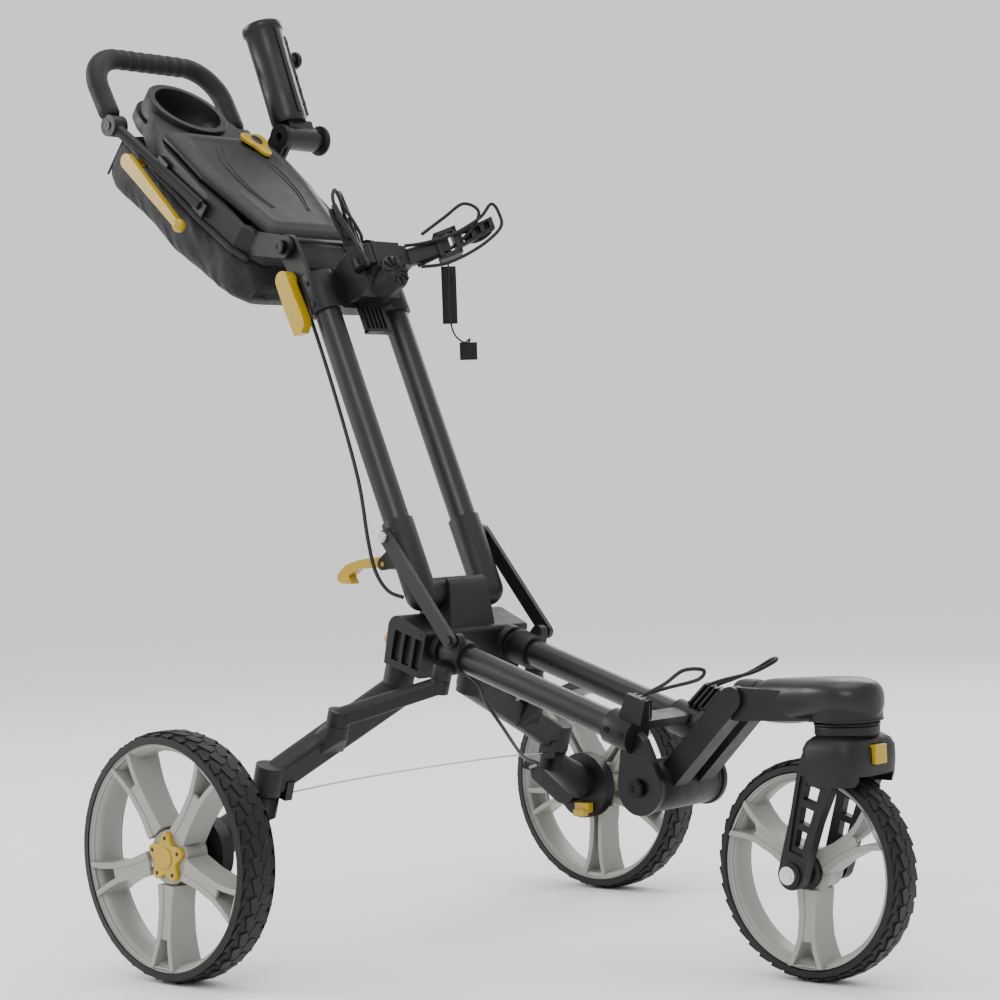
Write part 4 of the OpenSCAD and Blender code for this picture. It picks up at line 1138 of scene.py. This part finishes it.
class TROLLEY_OT_fork(bpy.types.Operator):
    """Make the front fork: its arched crown and its two pierced legs"""
    bl_idname = "trolley.fork"
    bl_label = "Front fork"

    def execute(self, context):
        axle = (WHEELBASE, FRONT_R)
        bm = bmesh.new()
        sections = ((200, 31, 30, 44.5), (207, 33.5, 33, 46), (222, 35, 34.5, 47), (236, 34.5, 34, 47),
                    (243, 31, 31, 43.5), (247.5, 25, 26, 36), (249, 18, 20, 27))
        add_loft(bm, [[(SWIVEL_X + 1 + (ahead if c > 0 else behind) * squared(c, 0.55),
                        wide * squared(s, 0.55), z) for c, s in circle_points(1, 56)]
                      for z, ahead, behind, wide in sections])
        crown_mesh = shape_from(bm, "crown")
        bm = bmesh.new()
        add_drum(bm, axle, FRONT_R + 6, -30.8, 30.8, 96)
        wells = [shape_from(bm, "well")]
        bm = bmesh.new()
        # the skirt is cut back behind the legs, and arched in front over the tyre
        add_slab(bm, [(560, 190), (588, 190), (596, 222), (576, 232), (560, 232)], -60, 60)
        add_slab(bm, [(634, 214), (660, 205), (660, 190), (600, 190), (600, 205)], -29, 29)
        wells.append(shape_from(bm, "skirt"))
        bm = bmesh.new()
        add_box(bm, (SWIVEL_X + 26, -10.4, 219.4), (SWIVEL_X + 60, 10.4, 240.6))
        wells.append(shape_from(bm, "button_well"))
        put_piece("fork_crown", carve(crown_mesh, wells), WHOLE, "body", "fork", bevel=1.6, segments=3,
                  replaces=("front_fork",))
        slope = math.atan2(SWIVEL_X - 5 - axle[0], 228 - axle[1])

        def leg_point(up, across):
            """A point of a leg in (x, z), up along it from the axle and across it."""
            return (axle[0] + up * math.sin(slope) + across * math.cos(slope),
                    axle[1] + up * math.cos(slope) - across * math.sin(slope))

        for s in (-1, 1):
            foot = [leg_point(15.5 * -math.cos(a), 15.5 * math.sin(a))
                    for a in [math.radians(-80 + 160 * k / 16) for k in range(17)]]
            outline = foot + [leg_point(60, 17.5), leg_point(100, 23), leg_point(118, 25), leg_point(120, -20),
                              leg_point(100, -20.5), leg_point(60, -17)]
            y0, y1 = sorted((s * 31.4, s * 43.6))
            bm = bmesh.new()
            add_slab(bm, outline, y0, y1)
            holes = []
            for low, high, half_low, half_high in ((29, 46, 5, 6), (53, 70, 6.5, 7.5), (77, 93, 8, 8.5)):
                hole = bmesh.new()
                add_slab(hole, [leg_point(low, -half_low), leg_point(low, half_low), leg_point(high, half_high),
                                leg_point(high, -half_high)], -60, 60)
                holes.append(shape_from(hole, "window"))
            face = s * 43.6
            hollow = bmesh.new()
            rim_line = [leg_point(22, -8.5), leg_point(22, 8.5), leg_point(60, 13), leg_point(99, 17.5),
                        leg_point(99, -15.5), leg_point(60, -12.5)]
            add_slab(hollow, rim_line, *sorted((face - s * 2.4, face + s * 5)))
            holes.append(shape_from(hollow, "hollow"))
            side = "left" if s > 0 else "right"
            put_piece("fork_leg_" + side, carve(shape_from(bm, "leg"), holes), WHOLE, "body", "fork",
                      bevel=1.0)
        bm = bmesh.new()
        for y in (-46, 44):
            add_drum(bm, axle, 12.5, y, y + 2.0, 40)
        add_post(bm, (SWIVEL_X, 0), ((30, 246), (32.5, 249), (32.5, 256.5), (31, 258)), 64)
        put_piece("fork_bosses", bm, WHOLE, "body", "fork", bevel=0.6)
        return {"FINISHED"}


# bolt heads: name, body, place, finish, the points of the left side and the radius
BOLTS = (
    ("drum_bolts", "frame", WHOLE, "dark_steel", ((389, 59.4, 189),), 9.5),
    ("console_pivot_heads", "console", CONSOLE, "dark_steel", ((0, 77, 0),), 8.0),
    ("knuckle_heads", "console", CONSOLE, "dark_steel", ((KNUCKLE[0], 107.5, KNUCKLE[1]),), 5.5),
    ("strut_heads", "upper_frame", UPPER, "steel", ((0, 84, 70.6),), 5.0),
    ("clamp_screws_low", "frame", LOWER, "dark_steel", ((270, 72, 0), (290, 72, 0), (2, 81, 14)), 3.2),
    ("clamp_screws_top", "upper_frame", UPPER, "dark_steel",
     ((0, 72, 356), (0, 72, 382), (0, 71, 78), (0, 71, 34)), 3.2),
    ("front_axle_heads", "fork", WHOLE, "steel", ((WHEELBASE, 49.5, FRONT_R),), 5.6),
)


def bolt_tree():
    """Geometry Nodes: one hex-socket bolt head on every point, turned to face away from the middle."""
    tree, given = new_tree("bolt_heads", {"Radius": "Float", "Height": "Float", "Metal": "Material"})
    radius, height = given["Radius"], given["Height"]
    head = add(tree, "GeometryNodeMeshCylinder", Vertices=28, Radius=radius, Depth=height)
    crown_top = add(tree, "GeometryNodeMeshCylinder", Vertices=28,
                    Radius=maths(tree, "MULTIPLY", radius, 0.82), Depth=maths(tree, "MULTIPLY", height, 1.35))
    socket = add(tree, "GeometryNodeMeshCylinder", Vertices=6, Radius=maths(tree, "MULTIPLY", radius, 0.46),
                 Depth=height)
    rise = add(tree, "ShaderNodeCombineXYZ", Z=maths(tree, "MULTIPLY", height, 0.42))
    lift = add(tree, "GeometryNodeTransform", Translation=rise.outputs["Vector"],
               Geometry=socket.outputs["Mesh"])
    cut = add(tree, "GeometryNodeMeshBoolean", operation="DIFFERENCE", Mesh_1=crown_top.outputs["Mesh"],
              Mesh_2=lift.outputs["Geometry"])
    join = add(tree, "GeometryNodeJoinGeometry", Geometry=head.outputs["Mesh"])
    tree.links.new(cut.outputs["Mesh"], join.inputs["Geometry"])
    spread = add(tree, "GeometryNodeInstanceOnPoints", Points=given["Geometry"],
                 Instance=join.outputs["Geometry"], Rotation=outward_turn(tree, (0, 1, 0)))
    finish_tree(tree, spread.outputs["Instances"], given["Metal"])
    return tree


class TROLLEY_OT_bolts(bpy.types.Operator):
    """Set the hex-socket bolts and screws of every clamp and pivot by Geometry Nodes"""
    bl_idname = "trolley.bolts"
    bl_label = "Bolts and screws"

    def execute(self, context):
        tree = bolt_tree()
        for name, body, place, finish, spots, radius in BOLTS:
            seeds = bpy.data.meshes.new(name)
            seeds.from_pydata([(x, s * y, z) for s in (1, -1) for x, y, z in spots], [], [])
            mesh = bake_nodes(seeds, tree, {"Radius": radius, "Height": radius * 0.5, "Metal": FINISH[finish]})
            put_piece(name, mesh, place, finish, body, sharp=35)
        return {"FINISHED"}


# ---- panel, registration and the run ----

class TROLLEY_PT_panel(bpy.types.Panel):
    bl_idname = "TROLLEY_PT_panel"
    bl_label = "Golf trolley"
    bl_space_type = "VIEW_3D"
    bl_region_type = "UI"
    bl_category = "Trolley"

    def draw(self, context):
        layout = self.layout
        for group in (context.scene.trolley_finish, context.scene.trolley_sizes):
            for key in group.bl_rna.properties.keys():
                if key not in {"rna_type", "name"}:
                    layout.prop(group, key)
        for maker in MAKERS:
            layout.operator(maker.bl_idname)


MAKERS = (TROLLEY_OT_stage, TROLLEY_OT_cords, TROLLEY_OT_finishes, TROLLEY_OT_tyres, TROLLEY_OT_rims,
          TROLLEY_OT_grip, TROLLEY_OT_lid, TROLLEY_OT_bag, TROLLEY_OT_umbrella, TROLLEY_OT_cradles,
          TROLLEY_OT_hood, TROLLEY_OT_fork, TROLLEY_OT_bolts)
CLASSES = (TrolleyFinish, TrolleySizes, *MAKERS, TROLLEY_PT_panel)


def register():
    for item in CLASSES:
        bpy.utils.register_class(item)
    bpy.types.Scene.trolley_finish = bpy.props.PointerProperty(type=TrolleyFinish)
    bpy.types.Scene.trolley_sizes = bpy.props.PointerProperty(type=TrolleySizes)


def unregister():
    del bpy.types.Scene.trolley_sizes
    del bpy.types.Scene.trolley_finish
    for item in reversed(CLASSES):
        bpy.utils.unregister_class(item)


def main():
    register()
    for maker in MAKERS:
        family, action = maker.bl_idname.split(".")
        getattr(getattr(bpy.ops, family), action)()


if __name__ == "__main__":
    main()
